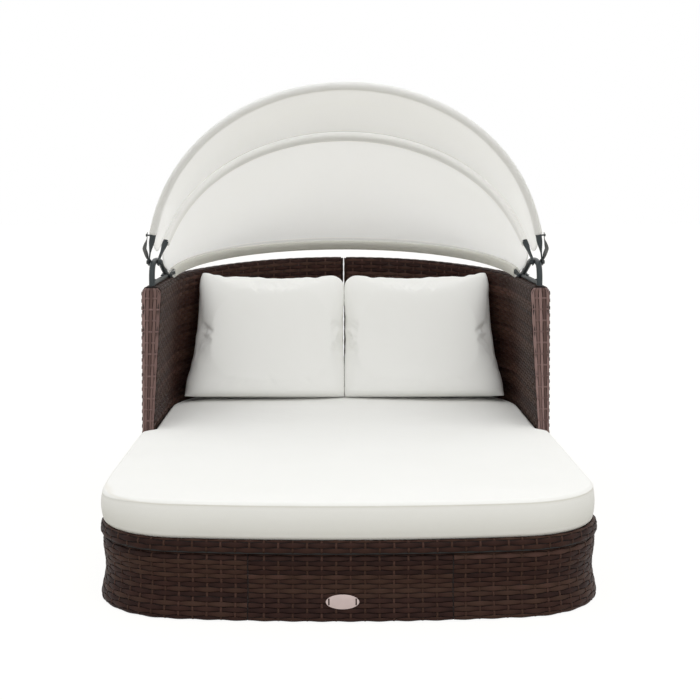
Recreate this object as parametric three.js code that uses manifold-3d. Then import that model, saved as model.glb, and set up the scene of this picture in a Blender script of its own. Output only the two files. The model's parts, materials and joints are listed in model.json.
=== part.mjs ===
// Outdoor daybed with a folding canopy: woven base and wall on welded frames, mattress, two pillows
// and a three-bow hood. Millimetres, x to the right, y to the back, z up.
import * as THREE from 'three';
import { mergeVertices } from 'three/addons/utils/BufferGeometryUtils.js';
import Module from 'manifold-3d';

const wasm = await Module();
wasm.setup();

// Driving sizes
const clearance = 0.3; // between pieces that touch
const overrun = 10; // how far a cutter runs past what it cuts
const skin = 5; // thickness of a woven skin

// Plan outline of the base, drawn at its widest
const halfWidth = 645;
const length = 2000;
const frontBowRadius = 3200; // the front face is slightly bowed
const frontCornerRadius = 240;
const rearCornerRadius = 500;

// Base and its skirt
const glideHeight = 4.7;
const glideRadius = 8;
const skirtBottom = 3;
const skirtTop = 168;
const skirtWaist = 8; // how far the waist is drawn in
const skirtFlare = 3; // how far the foot stands out past the outline
const skirtFootRound = 8;
const skirtRimRound = 16;
const skirtRimInset = 2;
const skirtSeamX = 253; // the two seams in the front face
const skirtSeamGap = 0.6;
const skirtClearance = 1; // between the skirt and the frame inside it
const ringRadius = 11; // round tube of the two base rings
const postRadius = 8;
const bearerSize = 20;
const bearerShares = [0.15, 0.45, 0.74]; // of the length, from the front
const centreLegRadius = 10;

// Deck: a woven panel on its own frame, above a shadow gap
const shadowGap = 4;
const deckTop = 200;
const deckOverhang = 4; // past the base outline
const deckEdgeRound = 8;
const deckTubeWidth = 20;
const deckBarShares = [0.15, 0.28, 0.41, 0.54, 0.67, 0.8, 0.92]; // of the length, from the front

// Wall: two mirrored halves round the back and sides
const wallProud = 4; // stands proud of the base outline
const wallTopThickness = 60;
const wallFootThickness = 35;
const wallTaperFrom = 300; // height at which the inner face starts to lean in
const wallDepth = 960; // from the arms' front ends to the back of the outline
const armTop = 746;
const rearTop = 789; // the top rises in an arch to the middle of the back
const wallSlot = 8; // slot between the two halves
const wallTopRound = 20;
const wallEndRound = 9;
const railRadius = 11;
const wallPostRadius = 8;
const wallBoltSetbacks = [110, 370]; // behind the arm's front end, and one more beside the slot
const wallBoltRearX = 85;

// Loop brackets on the arms
const loopSetback = 20; // of the front leg, behind the arm's front end
const loopLength = 429;
const loopHeight = 77; // from the arm to the tube's centre line at the top
const loopRadius = 9.5;
const loopBarRadius = 8;
// Centre line of the loop, as shares of its length and height
const loopShares = [[0, 0], [0, 0.5], [0.035, 0.84], [0.125, 0.975], [0.25, 1], [0.49, 0.87], [0.79, 0.37], [1, 0]];
const pivotShareIndex = 3; // the pivot bolt goes through this point of the loop
const bracketBoltShares = [0.128, 0.63]; // along the loop

// Bows of the hood
const bowTubeRadius = 9.5;
const tongueThickness = 5; // the flattened ends
const tongueHalfWidth = 12.5;
const tongueFlat = 12; // it stays upright this far past its bolt
const tongueLength = 28;
const tongueTaper = 55;
// splay: how far the ends turn out past the half circle; neck: round tube left bare below the sleeve
const frontBow = { splay: 18, neck: 25, tongue: tongueHalfWidth };
const middleBow = { splay: 19, neck: 3, tongue: tongueHalfWidth };
const rearBow = { splay: 7, neck: 2, tongue: 9 };
const frontBowLean = -27; // degrees from upright
const middleBowLean = 44.3; // degrees
const rearBowLean = 82.5; // degrees
const rearFixShare = 0.92; // where along the loop the rear bow is bolted on

// Bolts, washers, nuts, pins and straps
const pivotBoltRadius = 4;
const pivotHeadRadius = 7;
const pivotHeadHeight = 5;
const washerRadius = 9;
const washerThickness = 2;
const nutRadius = 7.5;
const nutHeight = 7;
const smallBoltRadius = 3;
const smallHeadRadius = 6;
const smallHeadHeight = 4;
const strapWidth = 13;
const strapThickness = 1.5;
const strapElbow = 11; // how far the strap stands out at its elbow
const strapTwist = 75; // degrees
const pinRadius = 2.5;
const pinReach = 9;
const pinStandoff = 1.1; // its collar stands off the curve of the bow
const pinHeadRadius = 4.5;
const pinHeadHeight = 3;
const pinDrop = 8; // below the front sleeve
const boltEnd = 1; // shows past a nut

// Hood fabric
const clothThickness = 2;
const sleeveSlack = 1.5; // between a bow and its sleeve
const sleeveHalfWidth = 14; // half the width of the front and middle sleeves
const rearSleeveHalfWidth = 17.5;
const panelSag = 6;

// Mattress and pillows
const mattressThickness = 102;
const mattressFit = 1; // all round it inside the wall
const mattressShoulder = 55; // length over which it narrows to fit between the arms
const mattressEdge = 20; // how far the top edge is drawn in
const mattressCrown = 7;
const mattressCrownReach = 110; // from its edge to where it is at its thickest
const pillowTaperShare = 0.037; // its outer side leans in towards the top by this share
const pillowHeight = 436;
const pillowThickness = 150;
const pillowLean = 11; // degrees
const pillowTurn = 9; // degrees, to follow the curve of the wall
const pillowGap = 5; // each side of the middle
const pillowSideGap = 26; // to the arm's inner face
const pillowSeam = 4; // thickness at the edge seam
const pillowSeat = 2; // left between a pillow and the wall behind it
const pillowDrawIn = 9;

const degrees = Math.PI / 180;
const point = (x, y, z) => new THREE.Vector3(x, y, z);

// Turns a closed geometry into a solid that can be joined and cut, and back
function solid(geometry) {
  const bare = geometry.clone();
  bare.deleteAttribute('normal');
  bare.deleteAttribute('uv');
  const merged = mergeVertices(bare, 1e-4);
  return new wasm.Manifold(new wasm.Mesh({
    numProp: 3,
    vertProperties: new Float32Array(merged.attributes.position.array),
    triVerts: new Uint32Array(merged.index.array),
  }));
}

function geometryOf(body) {
  const mesh = body.getMesh();
  const geometry = new THREE.BufferGeometry();
  geometry.setAttribute('position', new THREE.BufferAttribute(new Float32Array(mesh.vertProperties), 3));
  geometry.setIndex(new THREE.BufferAttribute(new Uint32Array(mesh.triVerts), 1));
  return geometry;
}

const join = (first, ...others) => geometryOf(others.reduce((sum, next) => sum.add(solid(next)), solid(first)));
const cut = (first, ...tools) => geometryOf(tools.reduce((rest, tool) => rest.subtract(solid(tool)), solid(first)));

// Triangles that close a flat ring, wound the way the ring runs
function capTriangles(ring) {
  const normal = point(0, 0, 0);
  ring.forEach((p, i) => normal.add(p.clone().cross(ring[(i + 1) % ring.length])));
  normal.normalize();
  const across = ring[1].clone().sub(ring[0]).cross(normal).normalize();
  const along = normal.clone().cross(across);
  const flat = ring.map((p) => new THREE.Vector2(p.dot(across), p.dot(along)));
  return THREE.ShapeUtils.triangulateShape(flat, []).map(([a, b, c]) => {
    const turn = flat[b].clone().sub(flat[a]).cross(flat[c].clone().sub(flat[a]));
    return turn > 0 ? [a, b, c] : [a, c, b];
  });
}

// Closed body through a row of rings with the same number of points
function loft(rings, isLoop = false, topCentre = null) {
  const count = rings[0].length;
  const index = [];
  const bands = isLoop ? rings.length : rings.length - 1;
  for (let i = 0; i < bands; i += 1) {
    const here = i * count;
    const there = ((i + 1) % rings.length) * count;
    for (let k = 0; k < count; k += 1) {
      const next = (k + 1) % count;
      index.push(here + k, here + next, there + next, here + k, there + next, there + k);
    }
  }
  if (!isLoop) {
    const last = (rings.length - 1) * count;
    capTriangles(rings[0]).forEach(([a, b, c]) => index.push(a, c, b));
    if (topCentre) {
      for (let k = 0; k < count; k += 1) index.push(last + k, last + ((k + 1) % count), rings.length * count);
    } else {
      capTriangles(rings[rings.length - 1]).forEach(([a, b, c]) => index.push(last + a, last + b, last + c));
    }
  }
  const points = topCentre ? [...rings.flat(), topCentre] : rings.flat();
  const positions = new Float32Array(points.flatMap((p) => [p.x, p.y, p.z]));
  const geometry = new THREE.BufferGeometry();
  geometry.setAttribute('position', new THREE.BufferAttribute(positions, 3));
  geometry.setIndex(index);
  return volumeOf(geometry) < 0 ? turnedInsideOut(geometry) : geometry;
}

function volumeOf(geometry) {
  const at = (i) => new THREE.Vector3().fromBufferAttribute(geometry.attributes.position, geometry.index.getX(i));
  let volume = 0;
  for (let i = 0; i < geometry.index.count; i += 3) {
    volume += at(i).dot(at(i + 1).cross(at(i + 2)));
  }
  return volume;
}

function turnedInsideOut(geometry) {
  const index = [];
  for (let i = 0; i < geometry.index.count; i += 3) {
    index.push(geometry.index.getX(i), geometry.index.getX(i + 2), geometry.index.getX(i + 1));
  }
  geometry.setIndex(index);
  return geometry;
}

const mirrored = (geometry) => turnedInsideOut(mergeVertices(geometry.clone(), 1e-4).scale(-1, 1, 1));

// Round tube in one plane; sizeAt gives the half sizes in the plane and across it
function tube(path, planeNormal, sizeAt, sides, isLoop = false) {
  const rings = path.map((p, i) => {
    const before = isLoop ? path[(i + path.length - 1) % path.length] : path[Math.max(i - 1, 0)];
    const after = isLoop ? path[(i + 1) % path.length] : path[Math.min(i + 1, path.length - 1)];
    const inPlane = after.clone().sub(before).cross(planeNormal).normalize();
    const [inside, across] = sizeAt(i);
    return Array.from({ length: sides }, (_, k) => {
      const turn = (k / sides) * 2 * Math.PI;
      return p.clone().addScaledVector(inPlane, inside * Math.cos(turn)).addScaledVector(planeNormal, across * Math.sin(turn));
    });
  });
  return loft(rings, isLoop);
}

// Cylinder between two points
function rod(from, to, radius, sides) {
  const geometry = new THREE.CylinderGeometry(radius, radius, from.distanceTo(to), sides);
  const turn = new THREE.Quaternion().setFromUnitVectors(point(0, 1, 0), to.clone().sub(from).normalize());
  return geometry.applyQuaternion(turn).translate(...from.clone().add(to).multiplyScalar(0.5).toArray());
}

function box(low, high) {
  const size = high.clone().sub(low);
  const middle = high.clone().add(low).multiplyScalar(0.5);
  return new THREE.BoxGeometry(size.x, size.y, size.z).translate(...middle.toArray());
}

// Plan outline as stations: a place on the outline and its outward direction
const frontCornerX = halfWidth - frontCornerRadius;
const frontReach = frontBowRadius - frontCornerRadius;
const frontCornerY = frontBowRadius - Math.sqrt(frontReach ** 2 - frontCornerX ** 2);
const frontTurn = Math.asin(frontCornerX / frontReach); // where the bowed front runs into the corner
const rearCornerX = halfWidth - rearCornerRadius;
const rearCornerY = length - rearCornerRadius;
const armFront = length - wallDepth;
const bearerPlaces = bearerShares.map((share) => length * share);

function arc(centreX, centreY, radius, from, to, steps) {
  return Array.from({ length: steps + 1 }, (_, i) => {
    const turn = from + ((to - from) * i) / steps;
    const [nx, ny] = [Math.cos(turn), Math.sin(turn)];
    return { x: centreX + radius * nx, y: centreY + radius * ny, nx, ny };
  });
}

const quarter = Math.PI / 2;
const frontArc = (fromX, steps) => {
  const from = Math.asin(fromX / frontBowRadius);
  return arc(0, frontBowRadius, frontBowRadius, from - quarter, frontTurn - quarter, steps);
};
const frontCorner = arc(frontCornerX, frontCornerY, frontCornerRadius, frontTurn - quarter, 0, 8);
const rearCorner = arc(rearCornerX, rearCornerY, rearCornerRadius, 0, quarter, 12);
const sideStation = (y) => ({ x: halfWidth, y, nx: 1, ny: 0 });
const rearStation = (x) => ({ x, y: length, nx: 0, ny: 1 });
const flipped = ({ x, y, nx, ny }) => ({ x: -x, y, nx: -nx, ny });

const rightHalf = [...frontArc(0, 4), ...frontCorner.slice(1), ...rearCorner, rearStation(0)];
// Half the width of a line that runs inside the outline, behind the front corner
const reachAt = (y, outward) => (
  rearCornerX + Math.sqrt((rearCornerRadius + outward) ** 2 - Math.max(y - rearCornerY, 0) ** 2));

const wholeOutline = [...rightHalf, ...rightHalf.slice(1, -1).reverse().map(flipped)];

const placed = (station, [outward, z]) => point(station.x + station.nx * outward, station.y + station.ny * outward, z);
const sweep = (stations, section, isLoop = false) => (
  loft(stations.map((station, i) => section(station, i).map((p) => placed(station, p))), isLoop));

// Offsets an open line of points sideways, to give a skin its inner face
function offsetLine(line, distance) {
  return line.map((p, i) => {
    const before = line[Math.max(i - 1, 0)];
    const after = line[Math.min(i + 1, line.length - 1)];
    const run = Math.hypot(after[0] - before[0], after[1] - before[1]);
    return [p[0] - ((after[1] - before[1]) / run) * distance, p[1] + ((after[0] - before[0]) / run) * distance];
  });
}

const roundSection = (outward, z, radius, sides) => Array.from({ length: sides }, (_, k) => {
  const turn = (k / sides) * 2 * Math.PI;
  return [outward + radius * Math.cos(turn), z + radius * Math.sin(turn)];
});

// Base: skirt panels, welded frame and glides
const skirtFootTop = skirtBottom + skirtFootRound;
const skirtRimFrom = skirtTop - skirtRimRound;

function skirtSection() {
  const foot = [0, 1, 2].map((i) => {
    const turn = (i / 3) * quarter;
    return [skirtFlare - skirtFootRound * (1 - Math.sin(turn)), skirtFootTop - skirtFootRound * Math.cos(turn)];
  });
  const waist = Array.from({ length: 8 }, (_, i) => {
    const share = i / 7;
    const drawnIn = skirtWaist * Math.sin(Math.PI * share) ** 2 + skirtRimInset * share;
    return [skirtFlare * (1 - share) ** 2 - drawnIn, skirtFootTop + (skirtRimFrom - skirtFootTop) * share];
  });
  const rim = [1, 2, 3].map((i) => {
    const turn = (i / 3) * quarter;
    return [-skirtRimInset - skirtRimRound * (1 - Math.cos(turn)), skirtRimFrom + skirtRimRound * Math.sin(turn)];
  });
  const outer = [...foot, ...waist, ...rim];
  return [...outer, ...offsetLine(outer, skin).reverse()];
}

function skirtFront() {
  const half = frontArc(0, 1).at(0);
  const reach = Math.asin((skirtSeamX - skirtSeamGap / 2) / frontBowRadius);
  const stations = arc(half.x, frontBowRadius, frontBowRadius, -quarter - reach, -quarter + reach, 6);
  return sweep(stations, skirtSection);
}

function skirtRight() {
  const stations = [
    ...frontArc(skirtSeamX + skirtSeamGap / 2, 2), ...frontCorner.slice(1), ...rearCorner, rearStation(skirtSeamGap / 2),
  ];
  return sweep(stations, skirtSection);
}

const lowerRing = { outward: -skin - skirtClearance - ringRadius, z: glideHeight + clearance + ringRadius };
const upperRing = {
  outward: -skirtRimInset - skin - skirtClearance - ringRadius,
  z: skirtTop - skin - clearance - ringRadius,
};
const centreLegY = bearerPlaces.at(1);
const postOutward = -skirtWaist - skirtRimInset - skin - skirtClearance - postRadius;

function baseFrame() {
  const rings = [lowerRing, upperRing].map(({ outward, z }) => (
    sweep(wholeOutline, () => roundSection(outward, z, ringRadius, 8), true)));
  const postStations = [frontArc(0, 1).at(0), frontCorner.at(0), frontCorner.at(5), rearCorner.at(4), rearCorner.at(8),
    rearStation(0)];
  const sidePosts = bearerPlaces.map(sideStation);
  const posts = [...postStations, ...sidePosts].flatMap((station) => (
    station.x === 0 ? [station] : [station, flipped(station)])).map((station) => (
    rod(placed(station, [postOutward, lowerRing.z]), placed(station, [postOutward, upperRing.z]), postRadius, 6)));
  const bearers = bearerPlaces.map((y) => {
    const reach = reachAt(y, upperRing.outward - ringRadius / 2);
    return box(
      point(-reach, y - bearerSize / 2, skirtTop - bearerSize), point(reach, y + bearerSize / 2, skirtTop));
  });
  const leg = rod(
    point(0, centreLegY, glideHeight + clearance), point(0, centreLegY, skirtTop - bearerSize / 2), centreLegRadius, 8);
  return join(rings[0], rings[1], ...posts, ...bearers, leg);
}

function glideAt(x, y) {
  const profile = [[0, 0], [glideRadius, 0], [glideRadius, glideHeight / 2], [glideRadius * 0.8, glideHeight], [0, glideHeight]];
  const foot = new THREE.LatheGeometry(profile.map(([r, z]) => new THREE.Vector2(r, z)), 10);
  return foot.rotateX(quarter).translate(x, y, 0);
}

const glidePlaces = {
  glide_front: [frontCorner.at(3), lowerRing.outward],
  glide_middle: [sideStation(centreLegY), lowerRing.outward],
  glide_rear: [rearCorner.at(5), lowerRing.outward],
};

// Deck: woven panel over a welded frame
const deckBottom = skirtTop + shadowGap;
const deckVoid = deckOverhang - skin;
const deckFrameOutward = deckVoid - clearance;
const deckFrameBottom = skirtTop + clearance;
const deckFrameTop = deckTop - skin - clearance;

const outlineRing = (outward, z) => wholeOutline.map((station) => placed(station, [outward, z]));

function wallBoltSpots() {
  const stations = [...wallBoltSetbacks.map((setback) => sideStation(armFront + setback)), rearStation(wallBoltRearX)];
  return stations.map((station) => placed(station, [wallBottomRail.outward, 0]));
}

function deckWeave() {
  const edge = deckEdgeRound;
  const shell = loft([
    outlineRing(deckOverhang - edge / 2, deckBottom), outlineRing(deckOverhang, deckBottom + edge / 2),
    outlineRing(deckOverhang, deckTop - edge), outlineRing(deckOverhang - edge * 0.3, deckTop - edge * 0.3),
    outlineRing(deckOverhang - edge, deckTop),
  ]);
  const hollow = loft([outlineRing(deckVoid, deckBottom - overrun), outlineRing(deckVoid, deckTop - skin)]);
  return cut(shell, hollow, ...boltHoles(deckTop));
}

// Holes for the wall bolts, from below the deck frame up to a height
function boltHoles(top) {
  return wallBoltSpots().flatMap((p) => [p.x, -p.x].map((x) => (
    rod(point(x, p.y, deckFrameBottom - overrun), point(x, p.y, top + overrun), smallBoltRadius + clearance, 8))));
}

function deckFrame() {
  const ring = sweep(wholeOutline, () => [
    [deckFrameOutward, deckFrameBottom], [deckFrameOutward, deckFrameTop],
    [deckFrameOutward - deckTubeWidth, deckFrameTop], [deckFrameOutward - deckTubeWidth, deckFrameBottom],
  ], true);
  const bars = deckBarShares.map((share) => {
    const y = length * share;
    const reach = reachAt(y, deckFrameOutward - deckTubeWidth / 2);
    return box(
      point(-reach, y - deckTubeWidth / 2, deckFrameBottom), point(reach, y + deckTubeWidth / 2, deckFrameTop));
  });
  return cut(join(ring, ...bars), ...boltHoles(deckTop));
}

// Wall: one half, drawn on the right and mirrored
const wallFoot = deckTop + clearance;
const wallMiddle = wallProud - wallTopThickness / 2;
const armX = halfWidth + wallMiddle;
const loopFront = armFront + loopSetback;
const bracketBoltPlaces = bracketBoltShares.map((share) => loopFront + loopLength * share);
const wallTopRail = { outward: wallMiddle, drop: skin + clearance + railRadius };
const wallBottomRail = { outward: wallProud - wallFootThickness / 2, z: wallFoot + clearance + railRadius };

function wallTopAt(station) {
  const share = Math.min(Math.abs(station.x + station.nx * wallMiddle) / armX, 1);
  return rearTop - (rearTop - armTop) * share ** 2;
}

// Section of the wall, drawn in by inset on every face
function wallSection(station, inset, foot) {
  const top = wallTopAt(station) - inset;
  const outer = wallProud - inset;
  const innerTop = wallProud - wallTopThickness + inset;
  const innerFoot = wallProud - wallFootThickness + inset;
  const radius = Math.max(wallTopRound - inset, skin);
  const steps = [0, 1, 2, 3].map((i) => (i / 3) * quarter);
  const outerRound = steps.map((turn) => [outer - radius * (1 - Math.cos(turn)), top - radius * (1 - Math.sin(turn))]);
  const innerRound = steps.map((turn) => [innerTop + radius * (1 - Math.sin(turn)), top - radius * (1 - Math.cos(turn))]);
  return [[outer, foot], ...outerRound, ...innerRound, [innerFoot, wallTaperFrom], [innerFoot, foot]];
}

// Stations from the arm's front to the slot in the back; ends are where the path starts and stops
function wallStations(front, slot) {
  return [sideStation(front), sideStation(front + wallEndRound), ...rearCorner,
    rearStation(rearCornerX / 2), rearStation(slot + wallEndRound), rearStation(slot)];
}

function wallWeaveRight() {
  const stations = wallStations(armFront, wallSlot / 2);
  const lastIndex = stations.length - 1;
  const endInset = (i) => (i === 0 || i === lastIndex ? wallEndRound / 2 : 0);
  const shell = sweep(stations, (station, i) => wallSection(station, endInset(i), wallFoot));
  const inside = wallStations(armFront + skin, wallSlot / 2 + skin);
  const hollow = sweep(inside, (station) => wallSection(station, skin, wallFoot - overrun));
  const boltHole = bracketBoltPlaces.map((y) => rod(
    point(armX, y, armTop - skin - overrun), point(armX, y, armTop + overrun), smallBoltRadius + clearance, 8));
  return cut(shell, hollow, ...boltHole);
}

function wallFrameRight() {
  const stations = wallStations(armFront + skin + railRadius, wallSlot / 2 + skin + railRadius);
  const topRail = sweep(stations, (station) => (
    roundSection(wallTopRail.outward, wallTopAt(station) - wallTopRail.drop, railRadius, 8)));
  const bottomRail = sweep(stations, () => roundSection(wallBottomRail.outward, wallBottomRail.z, railRadius, 8));
  const postStations = [stations.at(1), sideStation((armFront + rearCornerY) / 2), rearCorner.at(0), rearCorner.at(4),
    rearCorner.at(8), rearCorner.at(-1), rearStation(wallSlot + skin + railRadius)];
  const posts = postStations.map((station) => rod(
    placed(station, [wallBottomRail.outward, wallBottomRail.z]),
    placed(station, [wallTopRail.outward, wallTopAt(station) - wallTopRail.drop]), wallPostRadius, 6));
  const boltHole = bracketBoltPlaces.map((y) => rod(
    point(armX, y, armTop - skin - overrun - 2 * railRadius), point(armX, y, armTop + overrun), smallBoltRadius + clearance, 8));
  const footHole = wallBoltSpots().map((p) => rod(
    point(p.x, p.y, wallFoot - overrun), point(p.x, p.y, wallBottomRail.z + railRadius + overrun), smallBoltRadius + clearance, 8));
  return cut(join(topRail, bottomRail, ...posts), ...boltHole, ...footHole);
}

// Lathe-turned bolt along a direction, its head's underside at the given place
function bolt(headFace, direction, radius, headRadius, headHeight, shank) {
  const profile = [[0, -headHeight], [headRadius * 0.8, -headHeight], [headRadius, -headHeight * 0.6], [headRadius, 0],
    [radius, 0], [radius, shank], [0, shank]];
  const turned = new THREE.LatheGeometry(profile.map(([r, y]) => new THREE.Vector2(r, y)), 10);
  const turn = new THREE.Quaternion().setFromUnitVectors(point(0, 1, 0), direction);
  return turned.applyQuaternion(turn).translate(...headFace.toArray());
}

function nut(face, direction, height, radius, bore, sides) {
  const body = rod(face, face.clone().addScaledVector(direction, height), radius, sides);
  const hole = rod(
    face.clone().addScaledVector(direction, -overrun), face.clone().addScaledVector(direction, height + overrun), bore, 10);
  return cut(body, hole);
}

const down = point(0, 0, -1);
const inward = point(-1, 0, 0);
const outwardX = point(1, 0, 0);

const wallBoltAt = (spot) => bolt(
  point(spot.x, spot.y, wallBottomRail.z + railRadius + clearance), down,
  smallBoltRadius, smallHeadRadius, smallHeadHeight, wallBottomRail.z + railRadius - deckFrameBottom);

// Bracket: a bent loop and the bar that closes it along the arm
const loopFoot = armTop + clearance;
const loopPoint = ([alongShare, heightShare]) => point(
  armX, loopFront + loopLength * alongShare, loopFoot + loopHeight * heightShare);
const pivot = loopPoint(loopShares.at(pivotShareIndex));
const loopBarZ = loopFoot + loopBarRadius;
const rearFix = point(armX, loopFront + loopLength * rearFixShare, loopFoot + loopRadius);
const alongX = (at, radius) => rod(
  point(at.x - wallTopThickness, at.y, at.z), point(at.x + wallTopThickness, at.y, at.z), radius, 10);

function bracketRight() {
  const line = new THREE.CatmullRomCurve3(loopShares.map(loopPoint), false, 'centripetal').getPoints(22);
  const last = line.at(-1);
  line.push(last.clone().add(last.clone().sub(line.at(-2))));
  const loop = tube(line, point(1, 0, 0), () => [loopRadius, loopRadius], 8);
  const bar = rod(
    point(armX, loopFront, loopBarZ), point(armX, loopFront + loopLength * rearFixShare, loopBarZ), loopBarRadius, 8);
  const below = box(
    point(armX - wallTopThickness, loopFront - wallTopThickness, loopFoot - wallTopThickness),
    point(armX + wallTopThickness, loopFront + loopLength + wallTopThickness, loopFoot));
  const boltHole = bracketBoltPlaces.map((y) => rod(
    point(armX, y, loopFoot - overrun), point(armX, y, loopBarZ + loopBarRadius + overrun), smallBoltRadius + clearance, 8));
  return cut(join(loop, bar), below, ...boltHole,
    alongX(pivot, pivotBoltRadius + clearance), alongX(rearFix, smallBoltRadius + clearance));
}

const bracketBoltAt = (y) => bolt(
  point(armX, y, loopBarZ + loopBarRadius + clearance), down,
  smallBoltRadius, smallHeadRadius, smallHeadHeight, 2 * loopBarRadius + skin + 2 * railRadius);

// Pivot stack, from the loop's outer side outwards and from its inner side inwards
const outerWasherX = armX + loopRadius + clearance;
const frontTongueX = outerWasherX + washerThickness + clearance + tongueThickness / 2;
const strapFootX = frontTongueX + tongueThickness / 2 + clearance + strapThickness / 2;
const pivotHeadX = strapFootX + strapThickness / 2 + clearance;
const innerWasherX = armX - loopRadius - clearance;
const middleTongueX = innerWasherX - washerThickness - clearance - tongueThickness / 2;
const pivotNutX = middleTongueX - tongueThickness / 2 - clearance;
const rearTongueX = armX - loopRadius - clearance - tongueThickness / 2;
const rearHeadX = rearTongueX - tongueThickness / 2 - clearance;
const rearNutX = armX + loopRadius + clearance;

// Bows: half circles that splay a little towards their flattened ends
const bowStep = Math.PI / 20;

function bowAngles({ radius, bare }) {
  const tongue = [-tongueHalfWidth * 0.95, -tongueHalfWidth * 0.6, 0, tongueFlat, tongueLength];
  const ends = [...tongue, tongueLength + tongueTaper, bare].map((along) => along / radius);
  const middle = [];
  for (let turn = 2 * bowStep; turn < Math.PI - 1.5 * bowStep; turn += bowStep) middle.push(turn);
  return [...ends, ...middle, ...ends.map((turn) => Math.PI - turn).reverse()];
}

const sleeveAngles = (bow) => bowAngles(bow).slice(6, -6);

// Place on a bow's centre line at an angle counted from its right-hand end
function bowPoint(bow, turn) {
  const side = turn > quarter ? -1 : 1;
  const fromEnd = Math.min(turn, Math.PI - turn);
  const flat = tongueFlat / bow.radius;
  const bend = (Math.max(fromEnd - flat, 0) * quarter) / (quarter - flat);
  const spread = bow.radius + (bow.endX - bow.radius) * (1 - Math.sin(bend)) ** 6;
  const across = side * spread * Math.cos(bend);
  const up = bow.radius * (fromEnd < 0 ? fromEnd : Math.sin(fromEnd));
  const lean = bow.lean * degrees;
  return point(across, bow.foot.y + up * Math.sin(lean), bow.foot.z + up * Math.cos(lean));
}

const bowNormal = ({ lean }) => point(0, Math.cos(lean * degrees), -Math.sin(lean * degrees));

function bowTube(bow) {
  const angles = bowAngles(bow);
  const sizeAt = (i) => {
    const along = Math.min(angles[i], Math.PI - angles[i]) * bow.radius;
    const flat = tongueThickness / 2;
    if (along < 0) {
      const rounded = Math.sqrt(bow.tongue ** 2 - ((along * bow.tongue) / tongueHalfWidth) ** 2);
      return [flat, Math.max(rounded, bow.tongue * 0.25)];
    }
    const share = Math.min(Math.max((along - tongueLength) / tongueTaper, 0), 1);
    return [flat + (bowTubeRadius - flat) * share, bow.tongue + (bowTubeRadius - bow.tongue) * share];
  };
  return tube(angles.map((turn) => bowPoint(bow, turn)), bowNormal(bow), sizeAt, 8);
}

const bowOn = (sizes, lean, endX, foot) => ({
  ...sizes, lean, endX, foot, radius: endX - sizes.splay, bare: tongueLength + tongueTaper + sizes.neck,
});
const bows = {
  front: bowOn(frontBow, frontBowLean, frontTongueX, pivot),
  middle: bowOn(middleBow, middleBowLean, middleTongueX, pivot),
  rear: bowOn(rearBow, rearBowLean, rearTongueX, rearFix),
};

function boredBow(bow, boreRadius) {
  const bores = [1, -1].map((side) => {
    const from = side * (bow.endX - wallTopThickness / 2);
    const to = side * (bow.endX + wallTopThickness / 2);
    return rod(point(from, bow.foot.y, bow.foot.z), point(to, bow.foot.y, bow.foot.z), boreRadius + clearance, 10);
  });
  return cut(bowTube(bow), ...bores);
}

// Strap pin: stands out of the front bow just below its sleeve
const pinPlace = bows.front.bare - pinDrop; // along the bow from the pivot
const pinTurn = pinPlace / bows.front.radius;
const pinFoot = bowPoint(bows.front, pinTurn);
const pinStart = pinFoot.clone().addScaledVector(outwardX, bowTubeRadius + pinStandoff);

function strapPin() {
  const profile = [[0, 0], [pinRadius * 1.8, 0], [pinRadius * 1.8, 1.5 * clearance], [pinRadius, 1.5 * clearance],
    [pinRadius, pinReach], [pinHeadRadius, pinReach], [pinHeadRadius, pinReach + pinHeadHeight], [0, pinReach + pinHeadHeight]];
  const turned = new THREE.LatheGeometry(profile.map(([r, y]) => new THREE.Vector2(r, y)), 8);
  const turn = new THREE.Quaternion().setFromUnitVectors(point(0, 1, 0), outwardX);
  return turned.applyQuaternion(turn).translate(...pinStart.toArray());
}

// Strap: flat webbing from the pivot bolt to the pin, bowed outwards and twisted edge-on between
function strapRight() {
  const strapTopX = pinStart.x + pinReach - strapThickness;
  // Shares along the bow, of the elbow's stand-out, and of the twist
  const stationShares = [[-0.1, 0, 0], [0, 0, 0], [0.1, 0, 0], [0.3, 0.5, 0.8], [0.5, 1, 1], [0.7, 0.6, 0.5],
    [0.88, 0.12, 0], [1, 0, 0], [1.08, 0, 0]];
  const normal = bowNormal(bows.front);
  const lean = bows.front.lean * degrees;
  const alongBow = point(0, Math.sin(lean), Math.cos(lean));
  const middles = stationShares.map(([alongShare, outShare]) => {
    const straight = strapFootX + (strapTopX - strapFootX) * Math.min(Math.max(alongShare, 0), 1);
    return point(straight + strapElbow * outShare, pivot.y, pivot.z).addScaledVector(alongBow, pinPlace * alongShare);
  });
  const rings = middles.map((p, i) => {
    const before = middles[Math.max(i - 1, 0)];
    const after = middles[Math.min(i + 1, middles.length - 1)];
    const run = after.clone().sub(before).normalize();
    const flat = run.clone().cross(normal).normalize();
    const turn = stationShares[i][2] * strapTwist * degrees;
    const wide = normal.clone().multiplyScalar(Math.cos(turn)).addScaledVector(flat, Math.sin(turn));
    const thin = wide.clone().cross(run).normalize();
    return [[1, 1], [-1, 1], [-1, -1], [1, -1]].map(([w, t]) => (
      p.clone().addScaledVector(wide, (w * strapWidth) / 2).addScaledVector(thin, (t * strapThickness) / 2)));
  });
  const pinHole = rod(
    point(pinStart.x - overrun, pinStart.y, pinStart.z), point(pinStart.x + pinReach + overrun, pinStart.y, pinStart.z),
    pinRadius + clearance, 8);
  return cut(loft(rings), alongX(pivot, pivotBoltRadius + clearance), pinHole);
}

// Hood cover: one sheet over the three bows, its hems turned round them. Each ring is one cross-section;
// angles in a sleeve are counted from the bow's back towards its outside.
const sleeveTip = (7 / 30) * Math.PI; // angle by which a hem stops short of the panel
const hemSteps = 7;
const panelSteps = 4;

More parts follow.
